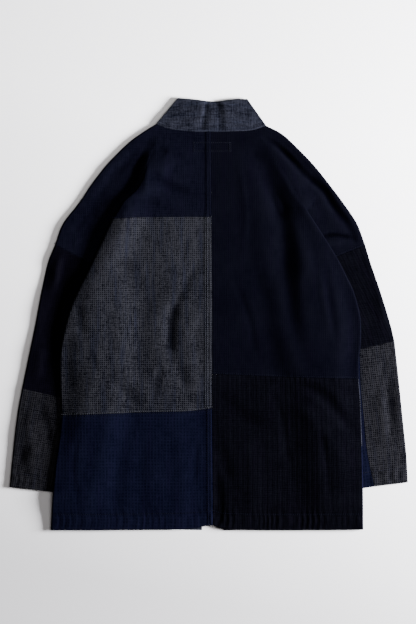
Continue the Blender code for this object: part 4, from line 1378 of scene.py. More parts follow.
@dataclass
class Collar(Panel):
    """The collar band at the back of the neck, folded along its top edge.

    Attributes:
        dents: Soft upright hollows: share of the collar's width, half-width, depth.
    """

    dents: Sequence[tuple[float, float, float]] = ((0.42, 0.03, 1.4), (0.6, 0.04, 1.8), (0.2, 0.05, 0.5))

    def build(self) -> bpy.types.Object:
        """Make the collar's closed wall.

        Returns:
            The piece.
        """
        across = graded(COLLAR_LENGTH, COLLAR_STEP)
        lows, highs = curve(COLLAR_FOOT, across), curve(COLLAR_TOP, across)
        clear = np.array([0.0, -SEAM_GAP])
        rows = [self.section(low + clear, high, share) for low, high, share in zip(lows, highs, across)]
        runs = run_lengths(rows[len(rows) // 2].outer)
        wall = ClothWall(self.name, grain=(1.0, 0.0))
        wall.add(rows, np.outer(rounded_ends(across, COLLAR_LENGTH), rounded_runs(runs)), reference=0)
        return wall.build()

    def section(self, low: Array, high: Array, share: float) -> Strip:
        """Make one section: outer layer, top fold and the inner layer back down.

        Args:
            low: Its plan point at the neck seam.
            high: Its plan point at the top fold.
            share: Its place across the collar.

        Returns:
            The section as a row.
        """
        steps = graded(COLLAR_WIDTH, COLLAR_STEP, end=False)
        length = float(np.linalg.norm(high - low))
        inward = (low - high) / length
        over_band = 1 - float(smooth_step((min(share, 1 - share) - COLLAR_FLAT_FROM) / COLLAR_FLAT_OVER))
        bottom = (BAND_CLOTH + SEAM_GAP) * over_band
        seam_height = BODY_RISE + COLLAR_RAISED
        top = high + inward * COLLAR_FOLD
        upper = low + np.outer(steps, top - low)
        heights = seam_height + (bottom + 2 * COLLAR_FOLD - seam_height) * steps
        heights = heights + COLLAR_BOW * math.sin(math.pi * share) * np.sin(math.pi * steps)
        heights = heights + self.surface(share, steps)
        down = np.linspace(0.0, 1.0, UNDER_STEPS)
        lower = top + np.outer(down, low - COLLAR_SHORT * inward - top)
        outer_layer = Strip(*[np.column_stack([upper, heights - depth]) for depth in (0.0, CLOTH)])
        arc = rolled(high, inward, bottom + COLLAR_FOLD, (COLLAR_FOLD, COLLAR_FOLD), COLLAR_ANGLES)
        level = np.full(len(lower), bottom)
        inner_layer = Strip(*[np.column_stack([lower, level + depth]) for depth in (0.0, CLOTH)])
        return Strip.joined(outer_layer, arc, inner_layer)

    def topstitching(self, step: float) -> Array:
        """Points of a row of stitches at a share of the collar's height.

        Args:
            step: The share of the height.

        Returns:
            The row's points.
        """
        across = np.linspace(0.01, 0.99, COLLAR_STITCH_POINTS)
        lows, highs = curve(COLLAR_FOOT, across), curve(COLLAR_TOP, across)
        found = []
        for low, high, share in zip(lows, highs, across):
            outer = self.section(low + (0.0, -SEAM_GAP), high, float(share)).outer
            steps = graded(COLLAR_WIDTH, COLLAR_STEP, end=False)
            found.append([np.interp(step, steps, outer[:len(steps), axis]) for axis in range(3)])
        return np.array(found) + (0.0, 0.0, 0.1)

    def surface(self, share: float, steps: Array) -> Array:
        """Dents, topstitching and unevenness of the outer layer.

        Args:
            share: The place across the collar.
            steps: Shares of its height.

        Returns:
            The heights that they add.
        """
        fade = smooth_step(steps / 0.15) * smooth_step((1 - steps) / 0.12)
        total = np.zeros(len(steps))
        for middle, half_width, depth in self.dents:
            total -= depth * math.exp(-(((share - middle) / half_width) ** 2)) * fade
        total -= STITCH_DENT * np.exp(-(((steps - COLLAR_STITCH) / STITCH_DENT_WIDTH) ** 2))
        places = np.full(len(steps), share * COLLAR_LENGTH), steps * COLLAR_WIDTH
        return total + UNEVEN_COLLAR.at(*places) * fade


UNEVEN_COLLAR = Unevenness(8, 16.0, 0.35)


@dataclass
class Sleeve:
    """One piece of a flattened sleeve.

    Attributes:
        name: Name of the piece and of the solid that it replaces.
        form: The heights at which the cloth lies.
        top: Seam above it.
        bottom: Seam or cuff below it.
        start: Line of its outer edge, or of the edge that is round.
        end: Line of its other edge.
        ring: Whether it goes all round the sleeve.
        ribs: Number of raised ribs on its visible width.
    """

    name: str
    form: RestingForm
    top: Table
    bottom: Table
    start: Table
    end: Table
    ring: bool = True
    ribs: int = 0

    def build(self) -> bpy.types.Object:
        """Make the sleeve piece's closed wall.

        Returns:
            The piece.
        """
        length = line_length(self.start)
        down = graded(length)
        plan = patch(curve(self.top), curve(self.bottom), curve(self.start, down),
                     curve(self.end, down), down)
        plan[0] = plan[0] + (0.0, SEAM_LAP)
        if self.bottom not in (CUFF_LEFT, GREY_CUFF, BLUE_CUFF):
            plan[-1] = plan[-1] + (0.0, SEAM_GAP / 2)
        width = run_lengths(plan[0])[-1]
        shares = np.linspace(0.0, 1.0, round(width / (RIB_PITCH / RIB_COLUMNS if self.ribs else FABRIC_STEP)))
        if not self.ring:
            shares = graded(width, start=False)
        rows = [self.section(line, shares) for line in plan]
        across = np.ones(len(rows[0].outer))
        if not self.ring:
            across[0] = across[-1] = THINNEST
        start, end = np.array(self.start, float), np.array(self.end, float)
        heading = start[0] + end[0] - start[-1] - end[-1]
        wall = ClothWall(self.name, grain=(heading[0], heading[1]))
        wall.add(rows, np.outer(rounded_ends(down, length), across), reference=ROLL_STEPS * 2)
        return wall.build()

    def section(self, line: Array, shares: Array) -> Strip:
        """Make one section, all round the sleeve or open where another piece goes on.

        Args:
            line: Plan points of the section.
            shares: Shares of its length for the columns of the upper face.

        Returns:
            The section as a row.
        """
        radius = SLEEVE_RISE / 2
        away = (line[1] - line[0]) / np.linalg.norm(line[1] - line[0])
        back = (line[-2] - line[-1]) / np.linalg.norm(line[-2] - line[-1])
        inset = radius if self.ring else SEAM_GAP / 2
        upper = by_length(line, shares, radius, inset)
        lower = by_length(line, np.linspace(1.0, 0.0, UNDER_STEPS), radius, inset)
        raised = self.rib_heights(upper)
        top = laid(upper, self.form.sleeve_top, 1, raised=raised)
        bottom = laid(lower, self.form.level, -1)
        steps = np.linspace(-90.0, 90.0, 2 * ROLL_STEPS + 1)[1:-1]
        near_top, far_top = top.outer[0, 2], top.outer[-1, 2]
        near = rolled(line[0], away, near_top / 2, (radius, near_top / 2), steps)
        if not self.ring:
            return Strip.joined(bottom, near, top)
        far = rolled(line[-1], back, far_top / 2, (radius, far_top / 2), steps[::-1])
        round_start = Strip(near.outer[:1], near.inner[:1])
        return Strip.joined(near, top, far, bottom, round_start)

    def rib_heights(self, upper: Array) -> Array | float:
        """Rounded ribs where the sleeve shows beside the body.

        Args:
            upper: Plan points of the upper face.

        Returns:
            The ribs' height there.
        """
        if not self.ribs:
            return 0.0
        runs = run_lengths(upper)
        profile = np.abs(np.sin(np.pi * runs / RIB_PITCH)) ** RIB_FULLNESS
        shown = smooth_step(self.form.beyond_body(*upper.T) / SHOWN_OVER)
        return RIB_HEIGHT * profile * shown


class Shade:
    """A number in a material that takes part in Python expressions."""

    def __init__(self, tree: bpy.types.NodeTree, socket: bpy.types.NodeSocket) -> None:
        """Wrap a socket of a node tree."""
        self.tree = tree
        self.socket = socket

    def maths(self, operation: str, *values: "Shade | float") -> "Shade":
        """Add a Math node.

        Args:
            operation: Its operation.
            values: Its inputs in order.

        Returns:
            Its result.
        """
        node = self.tree.nodes.new("ShaderNodeMath")
        node.operation = operation
        for number, value in enumerate(values):
            if isinstance(value, Shade):
                self.tree.links.new(value.socket, node.inputs[number])
            else:
                node.inputs[number].default_value = value
        return Shade(self.tree, node.outputs[0])

    def __add__(self, other: "Shade | float") -> "Shade":
        """Sum."""
        return self.maths("ADD", self, other)

    def __sub__(self, other: "Shade | float") -> "Shade":
        """Difference."""
        return self.maths("SUBTRACT", self, other)

    def __rsub__(self, other: float) -> "Shade":
        """Difference from a number on the left."""
        return self.maths("SUBTRACT", other, self)

    def __mul__(self, other: "Shade | float") -> "Shade":
        """Product."""
        return self.maths("MULTIPLY", self, other)

    def cosine(self) -> "Shade":
        """Cosine, the number in radians."""
        return self.maths("COSINE", self)

    def largest(self, other: "Shade | float") -> "Shade":
        """The larger of two."""
        return self.maths("MAXIMUM", self, other)

    def limited(self) -> "Shade":
        """The number held between 0 and 1."""
        return self.maths("MINIMUM", self.maths("MAXIMUM", self, 0.0), 1.0)


class Dyebath:
    """A material's node tree while its finish is mixed."""

    def __init__(self, name: str) -> None:
        """Start a material with a plain shader.

        Args:
            name: The material's name.
        """
        self.material = bpy.data.materials.new(name)
        self.material.use_nodes = True
        self.tree = self.material.node_tree
        self.shader = self.tree.nodes["Principled BSDF"]

    def node(self, kind: str, settings: dict[str, object], sockets: dict[int | str, object]) -> bpy.types.Node:
        """Add any node.

        Args:
            kind: Its type.
            settings: Its properties, which are set first.
            sockets: Values or links of its inputs.

        Returns:
            The node.
        """
        made = self.tree.nodes.new(kind)
        for name, value in settings.items():
            setattr(made, name, value)
        for key, value in sockets.items():
            self.feed(made.inputs[key], value)
        return made

    def feed(self, socket: bpy.types.NodeSocket, value: object) -> None:
        """Link an input to a shade or a socket, or set it to a value.

        Args:
            socket: The input.
            value: What it takes.
        """
        source = value.socket if isinstance(value, Shade) else value
        if isinstance(source, bpy.types.NodeSocket):
            self.tree.links.new(source, socket)
        else:
            socket.default_value = source

    def axes(self, place: bpy.types.NodeSocket) -> tuple[Shade, Shade]:
        """The first two coordinates of a place."""
        split = self.node("ShaderNodeSeparateXYZ", {}, {0: place})
        return Shade(self.tree, split.outputs[0]), Shade(self.tree, split.outputs[1])

    def woven_axes(self) -> tuple[Shade, Shade]:
        """The place across and along the cloth, in metres."""
        return self.axes(self.node("ShaderNodeUVMap", {"uv_map": "cloth"}, {}).outputs[0])

    def plan_axes(self) -> tuple[Shade, Shade]:
        """The place on the object across and along the jacket, in metres."""
        return self.axes(self.node("ShaderNodeTexCoord", {}, {}).outputs["Object"])

    def attribute(self, name: str) -> Shade:
        """A number that the piece's points carry."""
        return Shade(self.tree, self.node("ShaderNodeAttribute", {"attribute_name": name}, {}).outputs["Fac"])

    def noise(self, across: Shade, along: Shade, seed: float, detail: float = 2.0) -> Shade:
        """Smooth noise from about -1 to 1.

        Args:
            across: First coordinate, in units of the noise's size.
            along: Second coordinate.
            seed: Third coordinate, which sets one noise apart from another.
            detail: How fine it goes.

        Returns:
            The noise.
        """
        place = self.node("ShaderNodeCombineXYZ", {}, {0: across, 1: along, 2: seed})
        made = self.node("ShaderNodeTexNoise", {}, {"Vector": place.outputs[0], "Scale": 1.0, "Detail": detail})
        return Shade(self.tree, made.outputs[0]) * 2.0 - 1.0

    def mixed(self, first: object, second: object, share: Shade) -> bpy.types.NodeSocket:
        """Mix two colours.

        Args:
            first: Colour or socket at share 0.
            second: Colour or socket at share 1.
            share: How much of the second.

        Returns:
            The mixed colour's socket.
        """
        made = self.node("ShaderNodeMix", {"data_type": "RGBA"}, {0: share})
        for number, value in ((6, first), (7, second)):
            self.feed(made.inputs[number], (*value, 1.0) if isinstance(value, tuple) else value)
        return made.outputs[2]

    def set(self, values: dict[str, object]) -> None:
        """Set or link inputs of the shader."""
        for name, value in values.items():
            self.feed(self.shader.inputs[name], value)

    def bumped(self, height: Shade, distance: float, strength: float) -> None:
        """Raise the surface by a height from 0 to 1.

        Args:
            height: The height.
            distance: Metres that 1 stands for.
            strength: Strength of the bump.
        """
        made = self.node("ShaderNodeBump", {}, {"Height": height, "Distance": distance, "Strength": strength})
        self.set({"Normal": made.outputs[0]})


# The noises of a cloth: scale across, scale along, seed and detail. They pull and loosen the
# weave, streak both ways, fleck, cloud and smudge the dye and scatter odd threads.
NOISES = ((38.0, 60.0, 13.0, 3.0), (70.0, 34.0, 15.0, 3.0), (90.0, 210.0, 17.0, 3.0), (340.0, 40.0, 0.0, 2.0),
          (45.0, 340.0, 3.0, 2.0), (290.0, 330.0, 5.0, 3.0), (16.0, 13.0, 7.0, 4.0), (60.0, 45.0, 9.0, 3.0),
          (110.0, 9.0, 11.0, 3.0))
PULL = 0.3                  # share of a cell by which threads are pulled aside
MEAN_CELL = 0.66            # usual height of the weave's cells
LOOSENESS, TIGHTEST = 0.7, 0.9              # how far their heights differ, and round what
WEFT_SHARE, SMUDGE_SHARE = 0.8, 0.6         # beside the warp's streaks and the clouds
ODD_GAIN, ODD_START = 2.5, 0.1              # how sharply the odd threads stand out
# Share of the wear that follows the clouds, share of the ground colour used for the painted shade in hollows, and
# share of a thread's colour in its darker spots.
FADE_CLOUDS, PAINTED_SHADE_SHARE, THREAD_SHADE = 0.2, 0.4, 0.5
BUMP_CELLS, BUMP_THREADS, BUMP_STRENGTH = 0.6, 0.2, 0.8


@dataclass(frozen=True)
class ClothFinish:
    """The look of one cloth.

    Attributes:
        name: Its name.
        slot: Name of a material slot; it is not used.
        weave: How it is woven.
        ground: Colour in the hollows of the weave.
        thread: Colour of its raised threads.
        worn: Colour where it has faded.
        tint: Colour of the odd threads in it.
        pitch: Size of one cell of the weave, in metres.
        contrast: How far the hollows of the weave are darker.
        streaks: How much its threads differ.
        flecks: How much it is flecked.
        clouds: How much the dye varies over the hand's width.
        tinting: How many odd threads it has.
        fading: How far raised places have faded.
        painted_shade: How strongly shade is painted into its hollows.
        painted_shade_to_hem: How much darker it is painted for each metre down toward the hem, a painted shade
            standing in for the light's falloff.
        relief: Depth of the weave's bump, in metres.
        roughness: Roughness of the surface.
        sheen: Weight of the nap's sheen.
    """

    name: str
    slot: str
    weave: Weave
    ground: Colour
    thread: Colour
    worn: Colour
    tint: Colour
    pitch: float
    contrast: float = 0.6
    streaks: float = 0.5
    flecks: float = 0.4
    clouds: float = 0.35
    tinting: float = 0.5
    fading: float = 0.3
    painted_shade: float = 0.8
    painted_shade_to_hem: float = 0.0
    relief: float = 0.0004
    roughness: float = 0.92
    sheen: float = 0.001

    def cells(self, across: Shade, along: Shade) -> Shade:
        """Height of the weave's cells, from 0 to 1.

        Args:
            across: Place across the cloth.
            along: Place along the cloth.

        Returns:
            The height.
        """
        turn = 2 * math.pi / self.pitch
        warp, weft = (across * turn).cosine() * 0.5 + 0.5, (along * turn).cosine() * 0.5 + 0.5
        if self.weave is Weave.WAFFLE:
            return warp.largest(weft)
        if self.weave is Weave.RIBBED:
            return (along * (turn * 2.3)).cosine() * 0.25 + 0.5 + (across * (turn * 2)).cosine() * 0.25
        return warp * weft

    def material(self) -> bpy.types.Material:
        """Mix the finish's material from noises along the cloth and the height of its folds, which sets its wear
        and the shade painted into its hollows.

        Returns:
            The material.
        """
        bath = Dyebath(self.name)
        across, along = bath.woven_axes()
        raised = bath.attribute("raised")
        seed = float(len(self.name))
        pulled, slack, loose, warp_streaks, weft_streaks, flecks, clouds, smudges, dyed = (
            bath.noise(across * wide, along * high, seed + apart, detail) for wide, high, apart, detail in NOISES)
        pull = self.pitch * PULL
        cells = self.cells(across + pulled * pull, along + slack * pull)
        cells = (cells - MEAN_CELL) * (loose * LOOSENESS + TIGHTEST) + MEAN_CELL
        threads = (warp_streaks + weft_streaks * WEFT_SHARE) * self.streaks + flecks * self.flecks
        varied = threads + clouds * self.clouds + smudges * (self.clouds * SMUDGE_SHARE)
        # Painted shade: the cloth is darkened toward the hem, in place of the light's falloff.
        if self.painted_shade_to_hem:
            varied = varied + along * self.painted_shade_to_hem
        share = (cells * self.contrast + (0.5 - MEAN_CELL * self.contrast) + varied).limited()
        cloth = bath.mixed(self.ground, self.thread, share)
        tinted = ((dyed * ODD_GAIN + ODD_START).limited() * share * self.tinting).limited()
        cloth = bath.mixed(cloth, self.tint, tinted)
        fade = ((raised.largest(0.0) + clouds * FADE_CLOUDS) * self.fading).limited()
        cloth = bath.mixed(cloth, self.worn, fade)
        # Painted shade: the hollows of the folds are mixed toward a darker copy of the ground colour, as if shade
        # fell in them.
        painted_shade_mix = ((0.0 - raised).largest(0.0) * self.painted_shade).limited()
        dark = tuple(PAINTED_SHADE_SHARE * value for value in self.ground)
        cloth = bath.mixed(cloth, dark, painted_shade_mix)
        bath.set({"Base Color": cloth, "Roughness": self.roughness, "Specular IOR Level": 0.0,
                  "Sheen Weight": self.sheen, "Sheen Roughness": 0.5})
        height = cells * BUMP_CELLS + warp_streaks * BUMP_THREADS + weft_streaks * BUMP_THREADS + BUMP_THREADS
        bath.bumped(height.limited(), self.relief, BUMP_STRENGTH)
        return bath.material


@dataclass(frozen=True)
class ThreadFinish:
    """The look of sewing thread.

    Attributes:
        name: Its name.
        colour: Its colour.
    """

    name: str
    colour: Colour

    def material(self) -> bpy.types.Material:
        """Mix the thread's material.

        Returns:
            The material.
        """
        bath = Dyebath(self.name)
        across, along = bath.plan_axes()
        uneven = (bath.noise(across * 300.0, along * 300.0, 2.0) * 0.5 + 0.5).limited()
        dark = tuple(THREAD_SHADE * value for value in self.colour)
        bath.set({"Base Color": bath.mixed(dark, self.colour, uneven), "Roughness": 0.9,
                  "Specular IOR Level": 0.02})
        return bath.material


GUIDE_STEP = 1.7            # distance between the points that stitches follow
STITCH_BEAD = {"Segments": 8, "Rings": 4, "Radius": 0.5}
STITCH_LENGTHS, STITCH_SEED = (0.75, 1.1), 4     # shares of the usual length


@dataclass
class Sewing:
    """Rows of stitches in one thread.

    Attributes:
        name: Name of the piece.
        material: The thread.
        slot: Name of a material slot; it is not used.
        pitch: Distance from one stitch to the next, in metres.
        length: Length of a stitch, in metres.
        width: Width of the thread, in metres.
    """

    name: str
    material: bpy.types.Material
    slot: str
    pitch: float = 0.0036
    length: float = 0.0028
    width: float = 0.0012
    points: list[Array] = field(default_factory=list)

    def sew(self, line: Table, height: HeightRule, sink: float = 0.35) -> None:
        """Add a row of stitches.

        Args:
            line: Points of the row in plan.
            height: Height rule of the cloth that it lies on.
            sink: How far the thread's middle lies above the cloth.
        """
        length = run_lengths(np.array(line, float))[-1]
        plan = curve(line, max(2, round(length / GUIDE_STEP)))
        self.lay(np.column_stack([plan, height(plan[:, 0], plan[:, 1]) + sink]))

    def lay(self, points: Array) -> None:
        """Add a row of stitches through points."""
        self.points.append((points + (0.0, CENTRING_Y, 0.0)) * MM)

    def build(self) -> bpy.types.Object:
        """Make all stitches as one mesh.

        Returns:
            The stitches.
        """
        points, edges = [], []
        for row in self.points:
            start = len(points)
            points += row.tolist()
            edges += [(number, number + 1) for number in range(start, len(points) - 1)]
        data = bpy.data.meshes.new(self.name)
        data.from_pydata(points, edges, [])
        guide = linked(self.name + "_guide", data)
        tree, inputs = self.stitch_tree()
        nodes = guide.modifiers.new("stitches", "NODES")
        nodes.node_group = tree
        for name, value in (("Pitch", self.pitch), ("Length", self.length), ("Width", self.width)):
            nodes[inputs[name]] = value
        graph = bpy.context.evaluated_depsgraph_get()
        mesh = bpy.data.meshes.new_from_object(guide.evaluated_get(graph))
        bpy.data.objects.remove(guide, do_unlink=True)
        mesh.name = self.name
        mesh.shade_smooth()
        return linked(self.name, mesh)

    def stitch_tree(self) -> tuple[bpy.types.NodeTree, dict[str, str]]:
        """Make the nodes that set a stitch at each step of a line.

        Returns:
            The tree, and the identifier of each of its named inputs.
        """
        tree = bpy.data.node_groups.new(self.name + "_stitches", "GeometryNodeTree")
        tree.interface.new_socket("Geometry", in_out="INPUT", socket_type="NodeSocketGeometry")
        inputs = {}
        for name in ("Pitch", "Length", "Width"):
            socket = tree.interface.new_socket(name, in_out="INPUT", socket_type="NodeSocketFloat")
            inputs[name] = socket.identifier
        tree.interface.new_socket("Geometry", in_out="OUTPUT", socket_type="NodeSocketGeometry")
        new = tree.nodes.new
        start, end = new("NodeGroupInput"), new("NodeGroupOutput")
        as_curve, steps = new("GeometryNodeMeshToCurve"), new("GeometryNodeResampleCurve")
        steps.mode = "LENGTH"
        tangent, turn = new("GeometryNodeInputTangent"), new("FunctionNodeAlignRotationToVector")
        turn.axis = "Z"
        bead, size = new("GeometryNodeMeshUVSphere"), new("ShaderNodeCombineXYZ")
        for name, value in STITCH_BEAD.items():
            bead.inputs[name].default_value = value
        vary = new("FunctionNodeRandomValue")
        vary.inputs[2].default_value, vary.inputs[3].default_value = STITCH_LENGTHS
        vary.inputs["Seed"].default_value = STITCH_SEED
        longer, place = new("ShaderNodeMath"), new("GeometryNodeInstanceOnPoints")
        longer.operation = "MULTIPLY"
        realize, dress = new("GeometryNodeRealizeInstances"), new("GeometryNodeSetMaterial")
        dress.inputs["Material"].default_value = self.material
        for source, target in (
            (start.outputs["Geometry"], as_curve.inputs[0]), (as_curve.outputs[0], steps.inputs["Curve"]),
            (start.outputs["Pitch"], steps.inputs["Length"]), (tangent.outputs[0], turn.inputs["Vector"]),
            (start.outputs["Length"], longer.inputs[0]), (vary.outputs[1], longer.inputs[1]),
            (longer.outputs[0], size.inputs[2]), (start.outputs["Width"], size.inputs[0]),
            (start.outputs["Width"], size.inputs[1]), (steps.outputs[0], place.inputs["Points"]),
            (bead.outputs[0], place.inputs["Instance"]), (turn.outputs[0], place.inputs["Rotation"]),
            (size.outputs[0], place.inputs["Scale"]), (place.outputs[0], realize.inputs[0]),
            (realize.outputs[0], dress.inputs["Geometry"]), (dress.outputs[0], end.inputs[0]),
        ):
            tree.links.new(source, target)
        return tree, inputs


FLOOR_SIZE = 6.0
# Painted light: the floor's colour goes from the first colour to the second as it pales upward and to the right, in
# place of the light's falloff; its clouds vary it too.
FLOOR_DEEP, FLOOR_PALE = (0.44, 0.435, 0.45), (0.97, 0.965, 0.985)
FLOOR_CLOUDS, FLOOR_CLOUD_SCALE = 0.1, 1.4
FLOOR_PAINTED_LIGHT_ALONG, FLOOR_PAINTED_LIGHT_ACROSS, FLOOR_SHARE = 1.05, 0.15, 0.60    # the floor pales upward and to the right
# Name, place, side in metres, power in watts and colour.
LAMPS = (("window", (2.25, -0.1, 0.80), 0.8, 770.0, (0.98, 0.985, 1.0)),
         ("ceiling", (0.9, 0.3, 2.6), 1.6, 36.0, (1.0, 0.985, 0.97)))
SKY_COLOUR, SKY_STRENGTH = (1.0, 0.93, 0.90, 1.0), 0.17


@dataclass
class Studio:
    """The pale floor, the soft light from the upper right and the camera above.

    Attributes:
        frame_height: Height of the picture on the floor, in metres.
        camera_height: Height of the camera, in metres.
        centre: Point of the floor under the camera.
    """

    frame_height: float = 624 * 1.95 * MM
    camera_height: float = 4.2
    centre: Point = (0.0005, 0.0044)

    def build(self) -> None:
        """Make the floor, the light and the camera."""
        self.make_floor()
        self.make_light()
        self.make_camera()

    def make_floor(self) -> None:
        """Make the floor, with painted light that pales it upward and to the right."""
        data = bpy.data.meshes.new("floor")
        corners = ((-1, -1), (1, -1), (1, 1), (-1, 1))
        data.from_pydata([(FLOOR_SIZE * x, FLOOR_SIZE * y, 0.0) for x, y in corners], [], [(0, 1, 2, 3)])
        floor = linked("floor", data)
        bath = Dyebath("pale_paper")
        across, along = bath.plan_axes()
        clouds = bath.noise(across * FLOOR_CLOUD_SCALE, along * FLOOR_CLOUD_SCALE, 1.0) * FLOOR_CLOUDS
        # Painted light: this share pales the floor upward and to the right.
        share = (clouds + along * FLOOR_PAINTED_LIGHT_ALONG + across * FLOOR_PAINTED_LIGHT_ACROSS + FLOOR_SHARE).limited()
        colour = bath.mixed(FLOOR_DEEP, FLOOR_PALE, share)
        bath.set({"Base Color": colour, "Roughness": 0.9, "Specular IOR Level": 0.1})
        data.materials.append(bath.material)
        floor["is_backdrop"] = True

    def make_light(self) -> None:
        """Make the low window on the right, the high soft lamp above and the sky."""
        for settings in LAMPS:
            self.lamp(*settings)
        world = bpy.data.worlds.new("room")
        world.use_nodes = True
        sky = world.node_tree.nodes["Background"]
        sky.inputs["Color"].default_value = SKY_COLOUR
        sky.inputs["Strength"].default_value = SKY_STRENGTH
        bpy.context.scene.world = world

    def lamp(self, name: str, place: tuple[float, float, float], size: float, energy: float,
             colour: Colour) -> None:
        """Make a square soft lamp that shines at the jacket.

        Args:
            name: Its name.
            place: Where it stands.
            size: Its side, in metres.
            energy: Its power, in watts.
            colour: Its colour.
        """
        data = bpy.data.lights.new(name, "AREA")
        data.shape, data.size = "SQUARE", size
        data.energy, data.color = energy, colour
        made = linked(name, data)
        made.location = place
        made.rotation_mode = "QUATERNION"
        made.rotation_quaternion = (-made.location).to_track_quat("-Z", "Y")

    def make_camera(self) -> None:
        """Make the camera, straight above, with no blur."""
        data = bpy.data.cameras.new("camera")
        data.sensor_fit = "VERTICAL"
        data.sensor_height = 36.0
        data.lens = data.sensor_height * self.camera_height / self.frame_height
        data.dof.use_dof = False
        camera = linked("camera", data)
        camera.location = (*self.centre, self.camera_height)
        bpy.context.scene.camera = camera


@dataclass(frozen=True)
class Cut:
    """The flat cut of a piece, in metres.

    Attributes:
        width: Its width.
        length: Its length.
        area: Its area in square metres.
        rests_on: What it lies on.
    """

    width: float
    length: float
    area: float
    rests_on: tuple[str, ...]


CUTS = {
    "back_left_yoke": Cut(0.305, 0.277, 0.0461, ("front_left_cloth",)),
    "back_left_middle": Cut(0.295, 0.386, 0.1026, ("front_left_cloth",)),
    "back_left_lower": Cut(0.320, 0.240, 0.0704, ("front_left_cloth",)),
    "back_right_upper": Cut(0.301, 0.493, 0.1285, ("front_right_upper_cloth",)),
    "back_right_lower": Cut(0.310, 0.305, 0.0874, ("front_right_middle_cloth", "front_right_lower_cloth")),
    "front_left": Cut(0.244, 0.787, 0.1503, ("sleeve_left_upper_cloth", "sleeve_left_lower_cloth")),
    "front_right_upper": Cut(0.217, 0.493, 0.0759, ("sleeve_right_upper_cloth",)),
    "front_right_middle": Cut(0.215, 0.135, 0.0281, ("sleeve_right_inner_cloth",)),
    "front_right_lower": Cut(0.215, 0.165, 0.0346, ("sleeve_right_inner_cloth",)),
    "band_left": Cut(0.088, 0.843, 0.0486, ()),
    "band_right": Cut(0.083, 0.843, 0.0501, ()),
    "collar": Cut(0.213, 0.130, 0.0211, ("band_left_cloth", "band_right_cloth")),
    "sleeve_left_upper": Cut(0.330, 0.317, 0.0831, ()),
    "sleeve_left_lower": Cut(0.370, 0.208, 0.0600, ()),
    "sleeve_right_upper": Cut(0.300, 0.224, 0.0551, ()),
    "sleeve_right_lower": Cut(0.190, 0.283, 0.0413, ()),
    "sleeve_right_inner": Cut(0.200, 0.280, 0.0462, ()),
}

NAVY = ClothFinish("navy_waffle", "navy_cloth", Weave.WAFFLE, (0.00056, 0.00061, 0.00187),
                   (0.00220, 0.00226, 0.00504), (0.00407, 0.00442, 0.00812), (0.00194, 0.00139, 0.00478), 0.0042,
                   streaks=0.6, painted_shade=0.4)
RIGHT_NAVY = ClothFinish("deep_navy", "navy_cloth", Weave.WAFFLE, (0.00046, 0.00047, 0.00135),
                         (0.00130, 0.00132, 0.00272), (0.00260, 0.00274, 0.00485), (0.00112, 0.00083, 0.00258),
                         0.0042, contrast=0.5, flecks=0.35, painted_shade_to_hem=0.7)
SLEEVE_NAVY = ClothFinish("sleeve_navy", "navy_cloth", Weave.WAFFLE, (0.00035, 0.00030, 0.00085),
                          (0.00145, 0.00124, 0.00270), (0.00317, 0.00293, 0.00520), (0.00110, 0.00080, 0.00230),
                          0.0042, flecks=0.35, painted_shade=0.4)
GREY = ClothFinish("grey_waffle", "grey_cloth", Weave.WAFFLE, (0.00036, 0.00045, 0.00121),
                   (0.01126, 0.01139, 0.01435), (0.01407, 0.01412, 0.01671), (0.00297, 0.00395, 0.00987), 0.0040,
                   contrast=1.3, streaks=0.75, flecks=1.1, tinting=0.55, fading=0.1, painted_shade_to_hem=0.6, relief=0.0006)
CUFF_GREY = ClothFinish("cuff_grey_waffle", "grey_cloth", Weave.WAFFLE, (0.00028, 0.00032, 0.00074),
                        (0.00703, 0.00692, 0.00846), (0.00910, 0.00902, 0.01038), (0.00216, 0.00258, 0.00575),
                        0.0040, contrast=1.15, streaks=0.75, flecks=1.0, clouds=0.4, tinting=0.4, fading=0.1,
                        painted_shade=0.75, relief=0.0006)
BLUE = ClothFinish("blue_waffle", "blue_cloth", Weave.WAFFLE, (0.00054, 0.00070, 0.00252),
                   (0.00198, 0.00218, 0.00635), (0.00346, 0.00392, 0.00937), (0.00167, 0.00128, 0.00529), 0.0063,
                   contrast=0.42, streaks=0.55, clouds=0.4, painted_shade=0.9)
RIBBED = ClothFinish("ribbed_black", "ribbed_cloth", Weave.RIBBED, (0.00040, 0.00037, 0.00081),
                     (0.00128, 0.00132, 0.00222), (0.00201, 0.00214, 0.00366), (0.00132, 0.00090, 0.00239), 0.0096,
                     contrast=0.7, flecks=0.5, fading=0.4, relief=0.0003)
BAND = ClothFinish("washed_grey", "band_cloth", Weave.PLAIN, (0.00080, 0.00100, 0.00240),
                   (0.01845, 0.01962, 0.02835), (0.02340, 0.02430, 0.03240), (0.00630, 0.00855, 0.01800), 0.0030,
                   contrast=0.45, flecks=0.42, relief=0.0003)
PALE_THREAD = ThreadFinish("pale_thread", (0.02400, 0.02500, 0.03100))
GREY_THREAD = ThreadFinish("grey_thread", (0.00620, 0.00660, 0.01150))
INDIGO_THREAD = ThreadFinish("indigo_thread", (0.00220, 0.00250, 0.00620))


